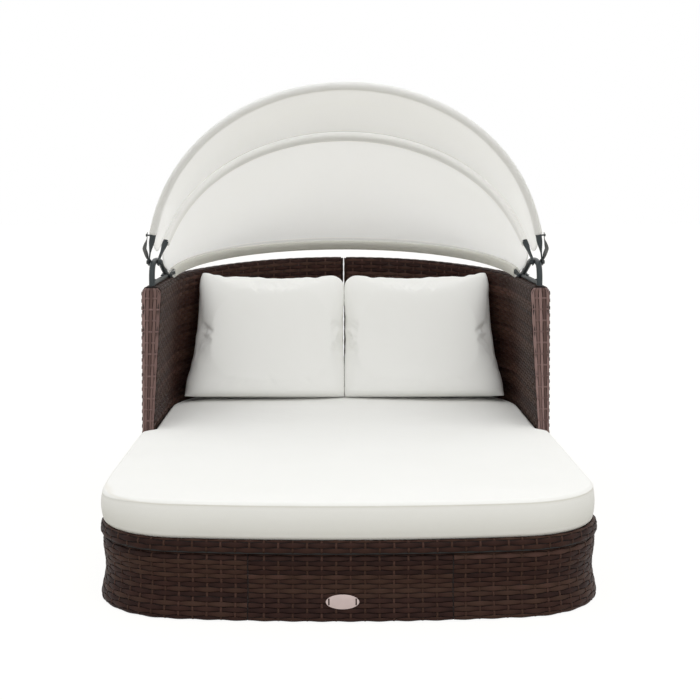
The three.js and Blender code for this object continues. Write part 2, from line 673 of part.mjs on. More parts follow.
function sleeveFrame(bow, i, halfWidth) {
  const turn = sleeveAngles(bow)[i];
  const lean = bow.lean * degrees;
  const out = point(Math.cos(turn), Math.sin(turn) * Math.sin(lean), Math.sin(turn) * Math.cos(lean));
  const outerReach = bowTubeRadius + sleeveSlack + clothThickness;
  return { middle: bowPoint(bow, turn), back: bowNormal(bow), out, halfWidth, outerReach };
}

const onSleeve = ({ middle, back, out, halfWidth, outerReach }, turn, inset) => middle.clone()
  .addScaledVector(back, (halfWidth - inset) * Math.cos(turn))
  .addScaledVector(out, (outerReach - inset) * Math.sin(turn));

// Angle at which a panel towards another bow leaves a sleeve
function leaveAngle(from, to, side) {
  const chord = to.middle.clone().sub(from.middle);
  return quarter - side * Math.atan2(-chord.dot(from.out), side * chord.dot(from.back));
}

const hem = (frame, from, to, steps, inset) => Array.from({ length: steps + 1 }, (_, k) => (
  onSleeve(frame, from + ((to - from) * k) / steps, inset)));

function panelLine(from, fromAngle, to, toAngle, inset) {
  const start = onSleeve(from, fromAngle, inset);
  const end = onSleeve(to, toAngle, inset);
  const out = from.out.clone().add(to.out).normalize();
  return Array.from({ length: panelSteps - 1 }, (_, k) => {
    const share = (k + 1) / panelSteps;
    return start.clone().lerp(end, share).addScaledVector(out, -panelSag * 4 * share * (1 - share));
  });
}

function coverRing(i) {
  const front = sleeveFrame(bows.front, i, sleeveHalfWidth);
  const middle = sleeveFrame(bows.middle, i, sleeveHalfWidth);
  const rear = sleeveFrame(bows.rear, i, rearSleeveHalfWidth);
  const frontLeave = leaveAngle(front, middle, 1);
  const middleFront = leaveAngle(middle, front, -1);
  const middleBack = leaveAngle(middle, rear, 1);
  const rearLeave = leaveAngle(rear, middle, -1);
  const full = 2 * Math.PI;
  const panels = (inset) => [
    panelLine(front, frontLeave, middle, middleFront, inset), panelLine(middle, middleBack, rear, rearLeave, inset)];
  const [frontOuter, rearOuter] = panels(0);
  const [frontInner, rearInner] = panels(clothThickness);
  const rootShare = sleeveHalfWidth / rearInner[0].distanceTo(middle.middle);
  const pocketRoot = onSleeve(middle, middleBack, clothThickness).lerp(rearInner[0], rootShare);
  const frontTip = frontLeave - sleeveTip;
  const middleTip = middleFront + sleeveTip - full;
  const rearTip = rearLeave + sleeveTip - full;
  return [
    ...hem(front, frontTip, frontLeave - full, hemSteps, 0), ...frontOuter,
    ...hem(middle, middleFront, middleBack, 2, 0), ...rearOuter,
    ...hem(rear, rearLeave, rearTip, hemSteps, 0), ...hem(rear, rearTip, rearLeave, hemSteps, clothThickness),
    ...rearInner.reverse(), pocketRoot,
    ...hem(middle, middleBack - sleeveTip * 1.2, middleTip, hemSteps - 2, 0),
    ...hem(middle, middleTip, middleFront, hemSteps, clothThickness), ...frontInner.reverse(),
    ...hem(front, frontLeave - full, frontTip, hemSteps, clothThickness),
  ];
}

const canopyCover = () => loft(sleeveAngles(bows.front).map((_, i) => coverRing(i)));

// Mattress: one boxed pad that narrows to fit between the arms
function padRings(stations, levels) {
  const whole = [...stations, ...stations.slice(1, -1).reverse().map(flipped)];
  return levels.map(([inset, z]) => whole.map((station) => placed(station, [-inset, z])));
}

function mattress() {
  const fit = wallProud - wallFootThickness - mattressFit;
  const fitX = halfWidth + fit;
  const shoulderFrom = armFront - clearance - mattressShoulder;
  const shoulder = [0.25, 0.5, 0.75].map((share) => {
    const ease = share * share * (3 - 2 * share);
    return { x: halfWidth + (fitX - halfWidth) * ease, y: shoulderFrom + mattressShoulder * share, nx: 1, ny: 0 };
  });
  const stations = [...frontArc(0, 4), ...frontCorner.slice(1), sideStation(shoulderFrom), ...shoulder,
    { x: fitX, y: armFront - clearance, nx: 1, ny: 0 },
    ...[...rearCorner, rearStation(0)].map(({ x, y, nx, ny }) => ({ x: x + nx * fit, y: y + ny * fit, nx, ny }))];
  const low = deckTop + clearance;
  const levels = [[0.4, 0], [0.1, 0.1], [0, 0.35], [0.1, 0.62], [0.38, 0.86], [1, 1]].map(([insetShare, heightShare]) => (
    [mattressEdge * insetShare, low + (mattressThickness - mattressCrown) * heightShare]));
  const crownRings = [[0.25, 0.45], [0.6, 0.8], [0.9, 1]].map(([insetShare, crownShare]) => (
    [mattressEdge + (mattressCrownReach - mattressEdge) * insetShare, low + mattressThickness - mattressCrown * (1 - crownShare)]));
  const middle = point(0, length / 2, low + mattressThickness);
  return loft(padRings(stations, [...levels, ...crownRings]), false, middle);
}

// Pillow: a crowned cushion with a knife edge, drawn in between its corners
const pillowWidth = halfWidth + wallProud - wallTopThickness - pillowGap - pillowSideGap;

function pillow() {
  const cells = 14;
  const place = (i, j, side) => {
    const u = Math.sin(((i / cells) * 2 - 1) * quarter);
    const v = Math.sin(((j / cells) * 2 - 1) * quarter);
    const taper = pillowTaperShare * v * (pillowWidth / 2);
    const x = u * (pillowWidth / 2 - taper - pillowDrawIn * (1 - v * v) ** 0.5) - taper;
    const z = v * (pillowHeight / 2 - pillowDrawIn * (1 - u * u) ** 0.5);
    const crown = ((1 - u ** 4) * (1 - v ** 4)) ** 0.42;
    return point(x, side * (pillowSeam / 2 + (pillowThickness / 2 - pillowSeam / 2) * crown), z);
  };
  const edge = [];
  for (let i = 0; i < cells; i += 1) edge.push([i, 0]);
  for (let j = 0; j < cells; j += 1) edge.push([cells, j]);
  for (let i = cells; i > 0; i -= 1) edge.push([i, cells]);
  for (let j = cells; j > 0; j -= 1) edge.push([0, j]);
  const triangles = [];
  const face = (a, b, c, d) => triangles.push(a, b, c, a, c, d);
  for (let i = 0; i < cells; i += 1) {
    for (let j = 0; j < cells; j += 1) {
      face(place(i, j, -1), place(i + 1, j, -1), place(i + 1, j + 1, -1), place(i, j + 1, -1));
      face(place(i, j, 1), place(i, j + 1, 1), place(i + 1, j + 1, 1), place(i + 1, j, 1));
    }
  }
  edge.forEach(([i, j], k) => {
    const [nextI, nextJ] = edge[(k + 1) % edge.length];
    face(place(i, j, -1), place(i, j, 1), place(nextI, nextJ, 1), place(nextI, nextJ, -1));
  });
  const geometry = new THREE.BufferGeometry().setFromPoints(triangles);
  const closed = mergeVertices(geometry, 1e-3);
  return volumeOf(closed) < 0 ? turnedInsideOut(closed) : closed;
}

// Stands the pillow on the mattress, leaning back until it meets the wall
function seatedPillow() {
  const leaning = pillow().rotateZ(-pillowTurn * degrees).rotateX(-pillowLean * degrees);
  leaning.computeBoundingBox();
  const low = leaning.boundingBox.min;
  leaning.translate(pillowGap - low.x, 0, deckTop + mattressThickness + 2 * clearance - low.z);
  const places = leaning.attributes.position;
  let room = Infinity;
  for (let i = 0; i < places.count; i += 1) {
    const [x, y, z] = [places.getX(i), places.getY(i), places.getZ(i)];
    const lean = Math.max(z - wallTaperFrom, 0) / (wallTopAt({ x, nx: 0 }) - wallTopRound - wallTaperFrom);
    const thickness = wallFootThickness + (wallTopThickness - wallFootThickness) * Math.min(lean, 1);
    const inner = wallProud - thickness;
    const sideways = Math.max(x - rearCornerX, 0);
    const reach = rearCornerRadius + inner;
    room = Math.min(room, rearCornerY + Math.sqrt(Math.max(reach ** 2 - sideways ** 2, 0)) - y);
  }
  return leaning.translate(0, room - pillowSeat, 0);
}

// Finishes
const finish = (color, roughness, metalness = 0) => new THREE.MeshStandardMaterial({ color, roughness, metalness });
const wicker = () => finish(0x3f2b26, 0.6);
const coatedMetal = () => finish(0x33383b, 0.45, 0.6);
const zincPlated = () => finish(0x8d8f92, 0.35, 0.9);
const webbing = () => finish(0x77787a, 0.85);
const hoodCloth = () => finish(0xe2e2dc, 0.9);
const cream = () => finish(0xf0efe9, 0.92);
const blackPlastic = () => finish(0x1d1d1f, 0.6);

const daybed = new THREE.Group();
function add(name, geometry, material) {
  const mesh = new THREE.Mesh(geometry, material);
  mesh.name = name;
  daybed.add(mesh);
}

// Adds a piece drawn on the right, and its mirror image on the left
function addPair(name, geometry, makeMaterial, suffix = '') {
  add(`${name}_right${suffix}`, geometry, makeMaterial());
  add(`${name}_left${suffix}`, mirrored(geometry), makeMaterial());
}

add('base_frame', baseFrame(), coatedMetal());
add('skirt_front', skirtFront(), wicker());
addPair('skirt', skirtRight(), wicker);
Object.entries(glidePlaces).forEach(([name, [station, outward]]) => {
  const at = placed(station, [outward, 0]);
  addPair(name, glideAt(at.x, at.y), blackPlastic);
});
add('glide_centre', glideAt(0, centreLegY), blackPlastic());
add('deck_frame', deckFrame(), coatedMetal());
add('deck_weave', deckWeave(), wicker());
addPair('wall_frame', wallFrameRight(), coatedMetal);
addPair('wall_weave', wallWeaveRight(), wicker);
wallBoltSpots().forEach((spot, i) => addPair('wall_bolt', wallBoltAt(spot), zincPlated, `_${i + 1}`));
addPair('bracket', bracketRight(), coatedMetal);
bracketBoltPlaces.forEach((y, i) => addPair('bracket_bolt', bracketBoltAt(y), coatedMetal, `_${i + 1}`));

const pivotAt = (x) => point(x, pivot.y, pivot.z);
const rearFixAt = (x) => point(x, rearFix.y, rearFix.z);
const pivotShank = pivotHeadX - pivotNutX + nutHeight + boltEnd;
const rearShank = rearNutX - rearHeadX + nutHeight + boltEnd;
const washer = (x, direction) => nut(
  pivotAt(x), direction, washerThickness, washerRadius, pivotBoltRadius + clearance, 12);
const pivotBolt = bolt(pivotAt(pivotHeadX), inward, pivotBoltRadius, pivotHeadRadius, pivotHeadHeight, pivotShank);
const rearBolt = bolt(rearFixAt(rearHeadX), outwardX, smallBoltRadius, smallHeadRadius, smallHeadHeight, rearShank);
addPair('pivot_bolt', pivotBolt, coatedMetal);
addPair('pivot_nut', nut(pivotAt(pivotNutX), inward, nutHeight, nutRadius, pivotBoltRadius + clearance, 6), coatedMetal);
addPair('pivot_washer', washer(outerWasherX, outwardX), blackPlastic, '_outer');
addPair('pivot_washer', washer(innerWasherX, inward), blackPlastic, '_inner');
add('rear_bow', boredBow(bows.rear, smallBoltRadius), coatedMetal());
addPair('rear_bow_bolt', rearBolt, coatedMetal);
addPair('rear_bow_nut', nut(rearFixAt(rearNutX), outwardX, nutHeight, nutRadius, smallBoltRadius + clearance, 6), coatedMetal);
add('middle_bow', boredBow(bows.middle, pivotBoltRadius), coatedMetal());
add('front_bow', boredBow(bows.front, pivotBoltRadius), coatedMetal());
addPair('strap_pin', strapPin(), coatedMetal);
addPair('strap', strapRight(), webbing);
add('canopy_cover', canopyCover(), hoodCloth());
add('mattress', mattress(), cream());
addPair('pillow', seatedPillow(), cream);

// The origin is on the floor, in the middle of the whole footprint
const whole = new THREE.Box3().setFromObject(daybed);
const middleY = (whole.min.y + whole.max.y) / 2;
daybed.position.y = -middleY;
console.log(`origin is ${middleY.toFixed(3)} mm behind the front of the base outline`);
console.log(`pivot axis at y ${(pivot.y - middleY).toFixed(3)}, z ${pivot.z.toFixed(3)} mm`);

export default daybed;
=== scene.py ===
# Outdoor daybed with a folding hood: its looks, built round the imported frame. Metres throughout.
import json
import math

import bmesh
import bpy
import numpy as np
from mathutils import Matrix, Vector, noise


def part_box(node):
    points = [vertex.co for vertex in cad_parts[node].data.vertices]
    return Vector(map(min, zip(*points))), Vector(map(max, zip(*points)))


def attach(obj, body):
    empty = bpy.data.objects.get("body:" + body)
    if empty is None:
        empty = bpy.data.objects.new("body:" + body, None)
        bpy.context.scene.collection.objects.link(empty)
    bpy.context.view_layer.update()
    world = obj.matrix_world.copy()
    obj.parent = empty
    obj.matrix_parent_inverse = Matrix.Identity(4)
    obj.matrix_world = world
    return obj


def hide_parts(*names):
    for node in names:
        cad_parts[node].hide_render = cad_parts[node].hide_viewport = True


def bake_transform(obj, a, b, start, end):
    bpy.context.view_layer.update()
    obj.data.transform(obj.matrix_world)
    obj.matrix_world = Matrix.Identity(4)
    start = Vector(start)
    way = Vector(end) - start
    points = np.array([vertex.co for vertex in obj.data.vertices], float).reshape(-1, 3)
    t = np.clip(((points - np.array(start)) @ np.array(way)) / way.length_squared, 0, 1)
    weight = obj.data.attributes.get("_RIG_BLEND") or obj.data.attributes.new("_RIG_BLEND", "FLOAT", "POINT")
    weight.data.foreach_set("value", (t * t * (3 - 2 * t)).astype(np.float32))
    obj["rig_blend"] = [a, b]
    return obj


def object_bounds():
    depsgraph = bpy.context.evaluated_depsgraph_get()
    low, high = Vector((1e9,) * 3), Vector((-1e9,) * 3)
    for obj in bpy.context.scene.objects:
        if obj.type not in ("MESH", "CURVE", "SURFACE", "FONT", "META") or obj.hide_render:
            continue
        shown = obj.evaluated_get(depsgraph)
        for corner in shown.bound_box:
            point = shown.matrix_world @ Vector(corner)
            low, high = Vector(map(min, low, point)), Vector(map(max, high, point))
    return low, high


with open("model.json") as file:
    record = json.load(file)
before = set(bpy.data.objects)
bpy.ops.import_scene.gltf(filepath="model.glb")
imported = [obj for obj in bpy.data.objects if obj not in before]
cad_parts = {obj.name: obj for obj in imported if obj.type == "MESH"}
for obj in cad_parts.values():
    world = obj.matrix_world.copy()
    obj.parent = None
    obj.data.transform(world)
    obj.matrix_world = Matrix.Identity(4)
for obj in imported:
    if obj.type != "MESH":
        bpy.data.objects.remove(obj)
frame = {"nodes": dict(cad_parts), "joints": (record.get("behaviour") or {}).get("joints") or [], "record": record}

cadLow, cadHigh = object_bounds()
scene = bpy.context.scene
hinge = Vector(frame["joints"][0]["pos_m"])
random = np.random.default_rng(11)


# a mesh from arrays of points and faces
def linkMesh(name, points, quads, smooth=True, triangles=None):
    mesh = bpy.data.meshes.new(name)
    points = np.asarray(points, np.float32).reshape(-1, 3)
    quads = np.asarray(quads, np.int32).reshape(-1, 4)
    triangles = np.zeros((0, 3), np.int32) if triangles is None else np.asarray(triangles, np.int32).reshape(-1, 3)
    corners = points[quads]
    volume = np.einsum("ij,ij->i", corners[:, 0], np.cross(corners[:, 1], corners[:, 2])).sum()
    volume += np.einsum("ij,ij->i", corners[:, 0], np.cross(corners[:, 2], corners[:, 3])).sum()
    ends = points[triangles]
    volume += np.einsum("ij,ij->i", ends[:, 0], np.cross(ends[:, 1], ends[:, 2])).sum()
    if volume < 0:  # faces point outwards
        quads, triangles = quads[:, ::-1], triangles[:, ::-1]
    starts = np.concatenate([np.arange(len(quads)) * 4, len(quads) * 4 + np.arange(len(triangles)) * 3])
    mesh.vertices.add(len(points))
    mesh.vertices.foreach_set("co", points.ravel())
    mesh.loops.add(quads.size + triangles.size)
    mesh.loops.foreach_set("vertex_index", np.concatenate([quads.ravel(), triangles.ravel()]).astype(np.int32))
    mesh.polygons.add(len(starts))
    mesh.polygons.foreach_set("loop_start", starts.astype(np.int32))
    mesh.update(calc_edges=True)
    mesh.polygons.foreach_set("use_smooth", np.full(len(starts), smooth))
    piece = bpy.data.objects.new(name, mesh)
    scene.collection.objects.link(piece)
    return piece


def pointAttribute(piece, name, values):
    attribute = piece.data.attributes.get(name) or piece.data.attributes.new(name, "FLOAT", "POINT")
    attribute.data.foreach_set("value", np.asarray(values, np.float32).ravel())


def vectorAttribute(piece, name, values):
    attribute = piece.data.attributes.new(name, "FLOAT_VECTOR", "POINT")
    attribute.data.foreach_set("vector", np.asarray(values, np.float32).ravel())


def deselectAll():
    for item in bpy.context.selected_objects:
        item.select_set(False)


def activate(piece):
    deselectAll()
    piece.select_set(True)
    bpy.context.view_layer.objects.active = piece


def applyModifiers(piece):
    activate(piece)
    for modifier in list(piece.modifiers):
        bpy.ops.object.modifier_apply(modifier=modifier.name)


def applyPlace(piece):
    activate(piece)
    bpy.ops.object.transform_apply(location=True, rotation=True, scale=True)


def subdivided(piece, levels=1):
    modifier = piece.modifiers.new("subdivision", "SUBSURF")
    modifier.levels = modifier.render_levels = levels
    applyModifiers(piece)


def finishPiece(piece, material, body, slot, *nodes):
    piece.data.materials.clear()
    piece.data.materials.append(material)
    if body:
        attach(piece, body)
    for node in nodes:
        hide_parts(node)
    return piece


# cuts a tool away from a piece or joins it on, and removes the tool
def combine(piece, tool, operation="DIFFERENCE"):
    modifier = piece.modifiers.new(operation.lower(), "BOOLEAN")
    modifier.object, modifier.operation, modifier.solver = tool, operation, "EXACT"
    applyModifiers(piece)
    bpy.data.objects.remove(tool)


def bore(piece, place, direction, radius, depth):
    turn = Vector((0, 0, 1)).rotation_difference(Vector(direction)).to_euler()
    deselectAll()
    bpy.ops.mesh.primitive_cylinder_add(vertices=24, radius=radius, depth=depth, location=place, rotation=turn)
    combine(piece, bpy.context.object)


# faces between rings of points, and across the two open ends of such a run
def ringGrid(rings, count):
    grid = np.arange(rings * count).reshape(rings, count)
    a, b = grid[:-1], grid[1:]
    return np.stack([a, np.roll(a, -1, 1), np.roll(b, -1, 1), b], -1).reshape(-1, 4)


def endFaces(rings, count):
    faces = []
    for row, ahead in ((np.arange(count), -1), ((rings - 1) * count + np.arange(count), 1)):
        faces += [[row[k], row[k + 1], row[-2 - k], row[-1 - k]][::ahead] for k in range(count // 2 - 1)]
    return np.array(faces)


def smoothStep(share):
    return share * share * (3 - 2 * share)


# a node group with named inputs and outputs
def newGroup(name, inputs, outputs):
    group = bpy.data.node_groups.new(name, "ShaderNodeTree")
    for label, kind, value in inputs:
        socket = group.interface.new_socket(label, in_out="INPUT", socket_type=kind)
        if value is not None:
            socket.default_value = value
    for label, kind in outputs:
        group.interface.new_socket(label, in_out="OUTPUT", socket_type=kind)
    return group, group.nodes.new("NodeGroupInput"), group.nodes.new("NodeGroupOutput")


def setSocket(tree, socket, value):
    if isinstance(value, (int, float)):
        socket.default_value = value
    elif isinstance(value, tuple):
        socket.default_value = (*value, 1) if len(socket.default_value) == 4 else value
    else:
        tree.links.new(value, socket)


def mathNode(tree, operation, a, b=None):
    node = tree.nodes.new("ShaderNodeMath")
    node.operation = operation
    for socket, value in zip(node.inputs, (a, b)):
        if value is not None:
            setSocket(tree, socket, value)
    return node.outputs[0]


def mixColour(tree, factor, a, b, blend="MIX"):
    node = tree.nodes.new("ShaderNodeMix")
    node.data_type = "RGBA"
    node.blend_type = blend
    for socket, value in ((node.inputs[0], factor), (node.inputs[6], a), (node.inputs[7], b)):
        setSocket(tree, socket, value)
    return node.outputs[2]


def noiseNode(tree, vector, scale, detail=3, roughness=0.5):
    node = tree.nodes.new("ShaderNodeTexNoise")
    node.inputs["Detail"].default_value = detail
    node.inputs["Roughness"].default_value = roughness
    setSocket(tree, node.inputs["Scale"], scale)
    tree.links.new(vector, node.inputs["Vector"])
    return node.outputs["Fac"]


def mapped(tree, vector, scale):
    node = tree.nodes.new("ShaderNodeMapping")
    node.inputs["Scale"].default_value = scale
    tree.links.new(vector, node.inputs["Vector"])
    return node.outputs["Vector"]


def readAttribute(tree, name, output="Fac"):
    node = tree.nodes.new("ShaderNodeAttribute")
    node.attribute_name = name
    return node.outputs[output]


def srgb(*levels):
    return tuple((v / 255 / 12.92) if v <= 10 else ((v / 255 + 0.055) / 1.055) ** 2.4 for v in levels)


# fine and broad mottling, for coated, moulded and cloth surfaces
grainGroup, grainIn, grainOut = newGroup(
    "surfaceGrain",
    [("Vector", "NodeSocketVector", None), ("Fine Scale", "NodeSocketFloat", 900.0),
     ("Broad Scale", "NodeSocketFloat", 12.0)],
    [("Fine", "NodeSocketFloat"), ("Broad", "NodeSocketFloat")])
for label, output, detail in (("Fine Scale", "Fine", 2), ("Broad Scale", "Broad", 4)):
    value = noiseNode(grainGroup, grainIn.outputs["Vector"], grainIn.outputs[label], detail)
    grainGroup.links.new(value, grainOut.inputs[output])

# plain weave of cloth: two crossed sets of threads
weaveGroup, weaveIn, weaveOut = newGroup(
    "clothWeave", [("Vector", "NodeSocketVector", None), ("Threads", "NodeSocketFloat", 900.0)],
    [("Height", "NodeSocketFloat")])
scaled = weaveGroup.nodes.new("ShaderNodeVectorMath")
scaled.operation = "SCALE"
weaveGroup.links.new(weaveIn.outputs["Vector"], scaled.inputs[0])
weaveGroup.links.new(weaveIn.outputs["Threads"], scaled.inputs["Scale"])
parts = weaveGroup.nodes.new("ShaderNodeSeparateXYZ")
weaveGroup.links.new(scaled.outputs[0], parts.inputs[0])
threads = [mathNode(weaveGroup, "SINE", mathNode(weaveGroup, "ADD", parts.outputs[i], parts.outputs[2]))
           for i in (0, 1)]
crossed = mathNode(weaveGroup, "ADD", *threads)
weaveGroup.links.new(mathNode(weaveGroup, "MULTIPLY", crossed, 0.25), weaveOut.inputs["Height"])


# a material with its node tree and its shader
def startMaterial(name, roughness, metallic=0.0):
    material = bpy.data.materials.new(name)
    material.use_nodes = True
    tree = material.node_tree
    shader = tree.nodes["Principled BSDF"]
    shader.inputs["Roughness"].default_value = roughness
    shader.inputs["Metallic"].default_value = metallic
    return material, tree, shader


def bumpInto(tree, shader, height, distance, strength=1.0):
    bump = tree.nodes.new("ShaderNodeBump")
    bump.inputs["Distance"].default_value = distance
    bump.inputs["Strength"].default_value = strength
    tree.links.new(height, bump.inputs["Height"])
    tree.links.new(bump.outputs[0], shader.inputs["Normal"])


def placeGroup(tree, group, **values):
    node = tree.nodes.new("ShaderNodeGroup")
    node.node_tree = group
    for label, value in values.items():
        setSocket(tree, node.inputs[label.replace("_", " ")], value)
    return node


def grainMaterial(name, colour, roughness, metallic=0.0, spread=0.12, fine=900.0, broad=12.0, bump=0.00015):
    material, tree, shader = startMaterial(name, roughness, metallic)
    vector = tree.nodes.new("ShaderNodeTexCoord").outputs["Object"]
    grain = placeGroup(tree, grainGroup, Vector=vector, Fine_Scale=fine, Broad_Scale=broad)
    darker, lighter = (tuple(c * k for c in colour) for k in (1 - spread, 1 + spread))
    tree.links.new(mixColour(tree, grain.outputs["Broad"], darker, lighter), shader.inputs["Base Color"])
    rough = mathNode(tree, "ADD", mathNode(tree, "MULTIPLY", grain.outputs["Fine"], 0.12), roughness - 0.06)
    tree.links.new(rough, shader.inputs["Roughness"])
    bumpInto(tree, shader, grain.outputs["Fine"], bump, 0.5)
    return material


clothLook = {"roughness": 0.9, "fine": 700.0, "fuzz": 0.6, "bump": 0.00025, "strength": 0.6, "sheen": 0.1}


def clothMaterial(name, colour, shade, threads, broad, doubledShade=None, seamTone=None):
    material, tree, shader = startMaterial(name, clothLook["roughness"])
    vector = tree.nodes.new("ShaderNodeTexCoord").outputs["Object"]
    grain = placeGroup(tree, grainGroup, Vector=vector, Fine_Scale=clothLook["fine"], Broad_Scale=broad)
    weave = placeGroup(tree, weaveGroup, Vector=vector, Threads=threads)
    tone = mixColour(tree, grain.outputs["Broad"], shade, colour)
    # painted shade: the colour darkens where the cloth lies double, for the light it holds back
    if doubledShade:  # where the cloth lies double over a bow, less light comes through
        tone = mixColour(tree, readAttribute(tree, "doubledShade"), tone, doubledShade)
    if seamTone:  # and along a line of stitches
        tone = mixColour(tree, readAttribute(tree, "seam"), tone, seamTone)
    tree.links.new(tone, shader.inputs["Base Color"])
    fuzz = mathNode(tree, "MULTIPLY", grain.outputs["Fine"], clothLook["fuzz"])
    height = mathNode(tree, "ADD", weave.outputs["Height"], fuzz)
    bumpInto(tree, shader, height, clothLook["bump"], clothLook["strength"])
    shader.inputs["Sheen Weight"].default_value = clothLook["sheen"]
    return material


thinLook = {"through": 0.95, "scatter": 0.9, "scatterReach": 0.012, "glow": (1, 1, 0.97), "paintedGlowStrength": 0.12}


# lets part of the light through, as thin cloth does, and paints a faint glow on the inner layer for the light that
# comes through
def letLightThrough(material):
    tree = material.node_tree
    shader = tree.nodes["Principled BSDF"]
    rays = tree.nodes.new("ShaderNodeLightPath")
    lit = mathNode(tree, "MAXIMUM", rays.outputs["Is Shadow Ray"], rays.outputs["Is Diffuse Ray"])
    through = mathNode(tree, "MULTIPLY", lit, thinLook["through"])
    tree.links.new(mathNode(tree, "SUBTRACT", 1.0, through), shader.inputs["Alpha"])
    shader.inputs["Subsurface Weight"].default_value = thinLook["scatter"]
    shader.inputs["Subsurface Radius"].default_value = (1, 1, 1)
    shader.inputs["Subsurface Scale"].default_value = thinLook["scatterReach"]
    # painted light: a faint emission on the layers marked inner stands in for light coming through the cloth
    glow = mixColour(tree, readAttribute(tree, "inner"), (0, 0, 0), thinLook["glow"])
    tree.links.new(glow, shader.inputs["Emission Color"])
    shader.inputs["Emission Strength"].default_value = thinLook["paintedGlowStrength"]


strandLook = {"gloss": 0.1, "streaks": (14, 900, 1), "streakShare": 0.7, "patches": (9, 3, 1), "patchShare": 0.6,
              "dark": (0.55, 0.55, 0.55), "light": (1.45, 1.42, 1.4), "roughSpread": 0.22, "bump": 0.0003}


def strandMaterial(name, tones, roughness):
    material, tree, shader = startMaterial(name, roughness)
    shader.inputs["Specular IOR Level"].default_value = strandLook["gloss"]
    ramp = tree.nodes.new("ShaderNodeValToRGB")
    ramp.color_ramp.elements[0].color = (*tones[0], 1)
    ramp.color_ramp.elements[1].color = (*tones[-1], 1)
    for i, colour in enumerate(tones[1:-1]):
        ramp.color_ramp.elements.new((i + 1) / (len(tones) - 1)).color = (*colour, 1)
    tree.links.new(readAttribute(tree, "tone"), ramp.inputs[0])
    run = readAttribute(tree, "run", "Vector")
    streaks = noiseNode(tree, mapped(tree, run, strandLook["streaks"]), 1.0, 4, 0.6)
    patches = noiseNode(tree, mapped(tree, run, strandLook["patches"]), 1.0, 2)
    both = mathNode(tree, "ADD", mathNode(tree, "MULTIPLY", streaks, strandLook["streakShare"]),
                    mathNode(tree, "MULTIPLY", patches, strandLook["patchShare"]))
    shades = mixColour(tree, both, strandLook["dark"], strandLook["light"])
    tree.links.new(mixColour(tree, 1.0, ramp.outputs[0], shades, "MULTIPLY"), shader.inputs["Base Color"])
    rough = mathNode(tree, "ADD", mathNode(tree, "MULTIPLY", streaks, strandLook["roughSpread"]), roughness - 0.1)
    tree.links.new(rough, shader.inputs["Roughness"])
    bumpInto(tree, shader, streaks, strandLook["bump"], 0.6)
    return material


wicker = strandMaterial("wickerStrand", [srgb(38, 22, 19), srgb(52, 33, 28), srgb(62, 44, 36), srgb(74, 52, 46)], 0.5)
# a lighter copy of the wicker for the arms' front ends: painted light, as their upright strands catch more light
capWickerPaintedLight = strandMaterial(
    "wickerCapStrandPaintedLight", [srgb(72, 55, 52), srgb(104, 84, 80), srgb(122, 100, 97), srgb(140, 118, 114)], 0.45)
wickerCore = grainMaterial("wickerCore", srgb(30, 19, 17), 0.8)
coatedSteel = grainMaterial("coatedSteel", srgb(48, 55, 58), 0.42, 0.2, fine=1400, bump=0.0001)
zincPlated = grainMaterial("zincPlated", srgb(150, 152, 155), 0.32, 0.95)
blackPlastic = grainMaterial("blackPlastic", srgb(30, 30, 32), 0.5)
badgeMetal = grainMaterial("badgeMetal", srgb(196, 178, 174), 0.34, 0.55, 0.06, 500.0, 40.0)
webbing = clothMaterial("webbing", srgb(126, 127, 126), srgb(104, 105, 106), 1500.0, 60.0)
# the hood's third colour is painted shade for doubled cloth, the fourth its stitches
hoodCloth = clothMaterial("hoodCloth", srgb(247, 246, 241), srgb(241, 240, 234), 3200.0, 3.0,
                          srgb(184, 182, 172), srgb(214, 213, 207))
letLightThrough(hoodCloth)
creamCloth = clothMaterial("creamCloth", srgb(244, 244, 241), srgb(240, 240, 236), 2600.0, 4.0,
                           seamTone=srgb(236, 234, 227))
# near-black steel for the frames: painted shade, as they show in the shadow gap
frameSteel = grainMaterial("frameSteel", srgb(27, 24, 23), 0.6, 0.1, fine=1400, bump=0.0001)

# the solids that nothing replaces get their finish by slot; the hidden frames get a near-black steel, painted shade
# that keeps the shadow gap dark
finishes = {"wicker": wickerCore, "coated_steel": coatedSteel, "zinc_plated": zincPlated, "webbing": webbing,
            "hood_cloth": hoodCloth, "cream_cloth": creamCloth, "black_plastic": blackPlastic}
for part in frame["record"]["subparts"]:
    node = frame["nodes"][part["node"]]
    node.data.materials.clear()
    node.data.materials.append(frameSteel if "frame" in part["node"] else finishes[part["material_slot"]])
print("materials made")


# plan of the base: a bowed front, straight sides and a back with wide corners
plan = {"halfWidth": 0.645, "length": 2.0, "bowRadius": 3.2, "frontCorner": 0.24, "rearCorner": 0.5, "overhang": 0.004}
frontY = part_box("deck_weave")[0].y + plan["overhang"]  # the front of the base outline
frontCornerX = plan["halfWidth"] - plan["frontCorner"]
frontReach = plan["bowRadius"] - plan["frontCorner"]
frontCornerY = plan["bowRadius"] - math.sqrt(frontReach ** 2 - frontCornerX ** 2)
frontTurn = math.asin(frontCornerX / frontReach)
rearCornerX = plan["halfWidth"] - plan["rearCorner"]
rearCornerY = plan["length"] - plan["rearCorner"]
marks = np.cumsum([0, plan["bowRadius"] * frontTurn, plan["frontCorner"] * (math.pi / 2 - frontTurn),
                   rearCornerY - frontCornerY, plan["rearCorner"] * math.pi / 2, rearCornerX])
halfRun = marks[-1]  # from the middle of the front to the middle of the back
sideRun = marks[2]  # where the straight side starts


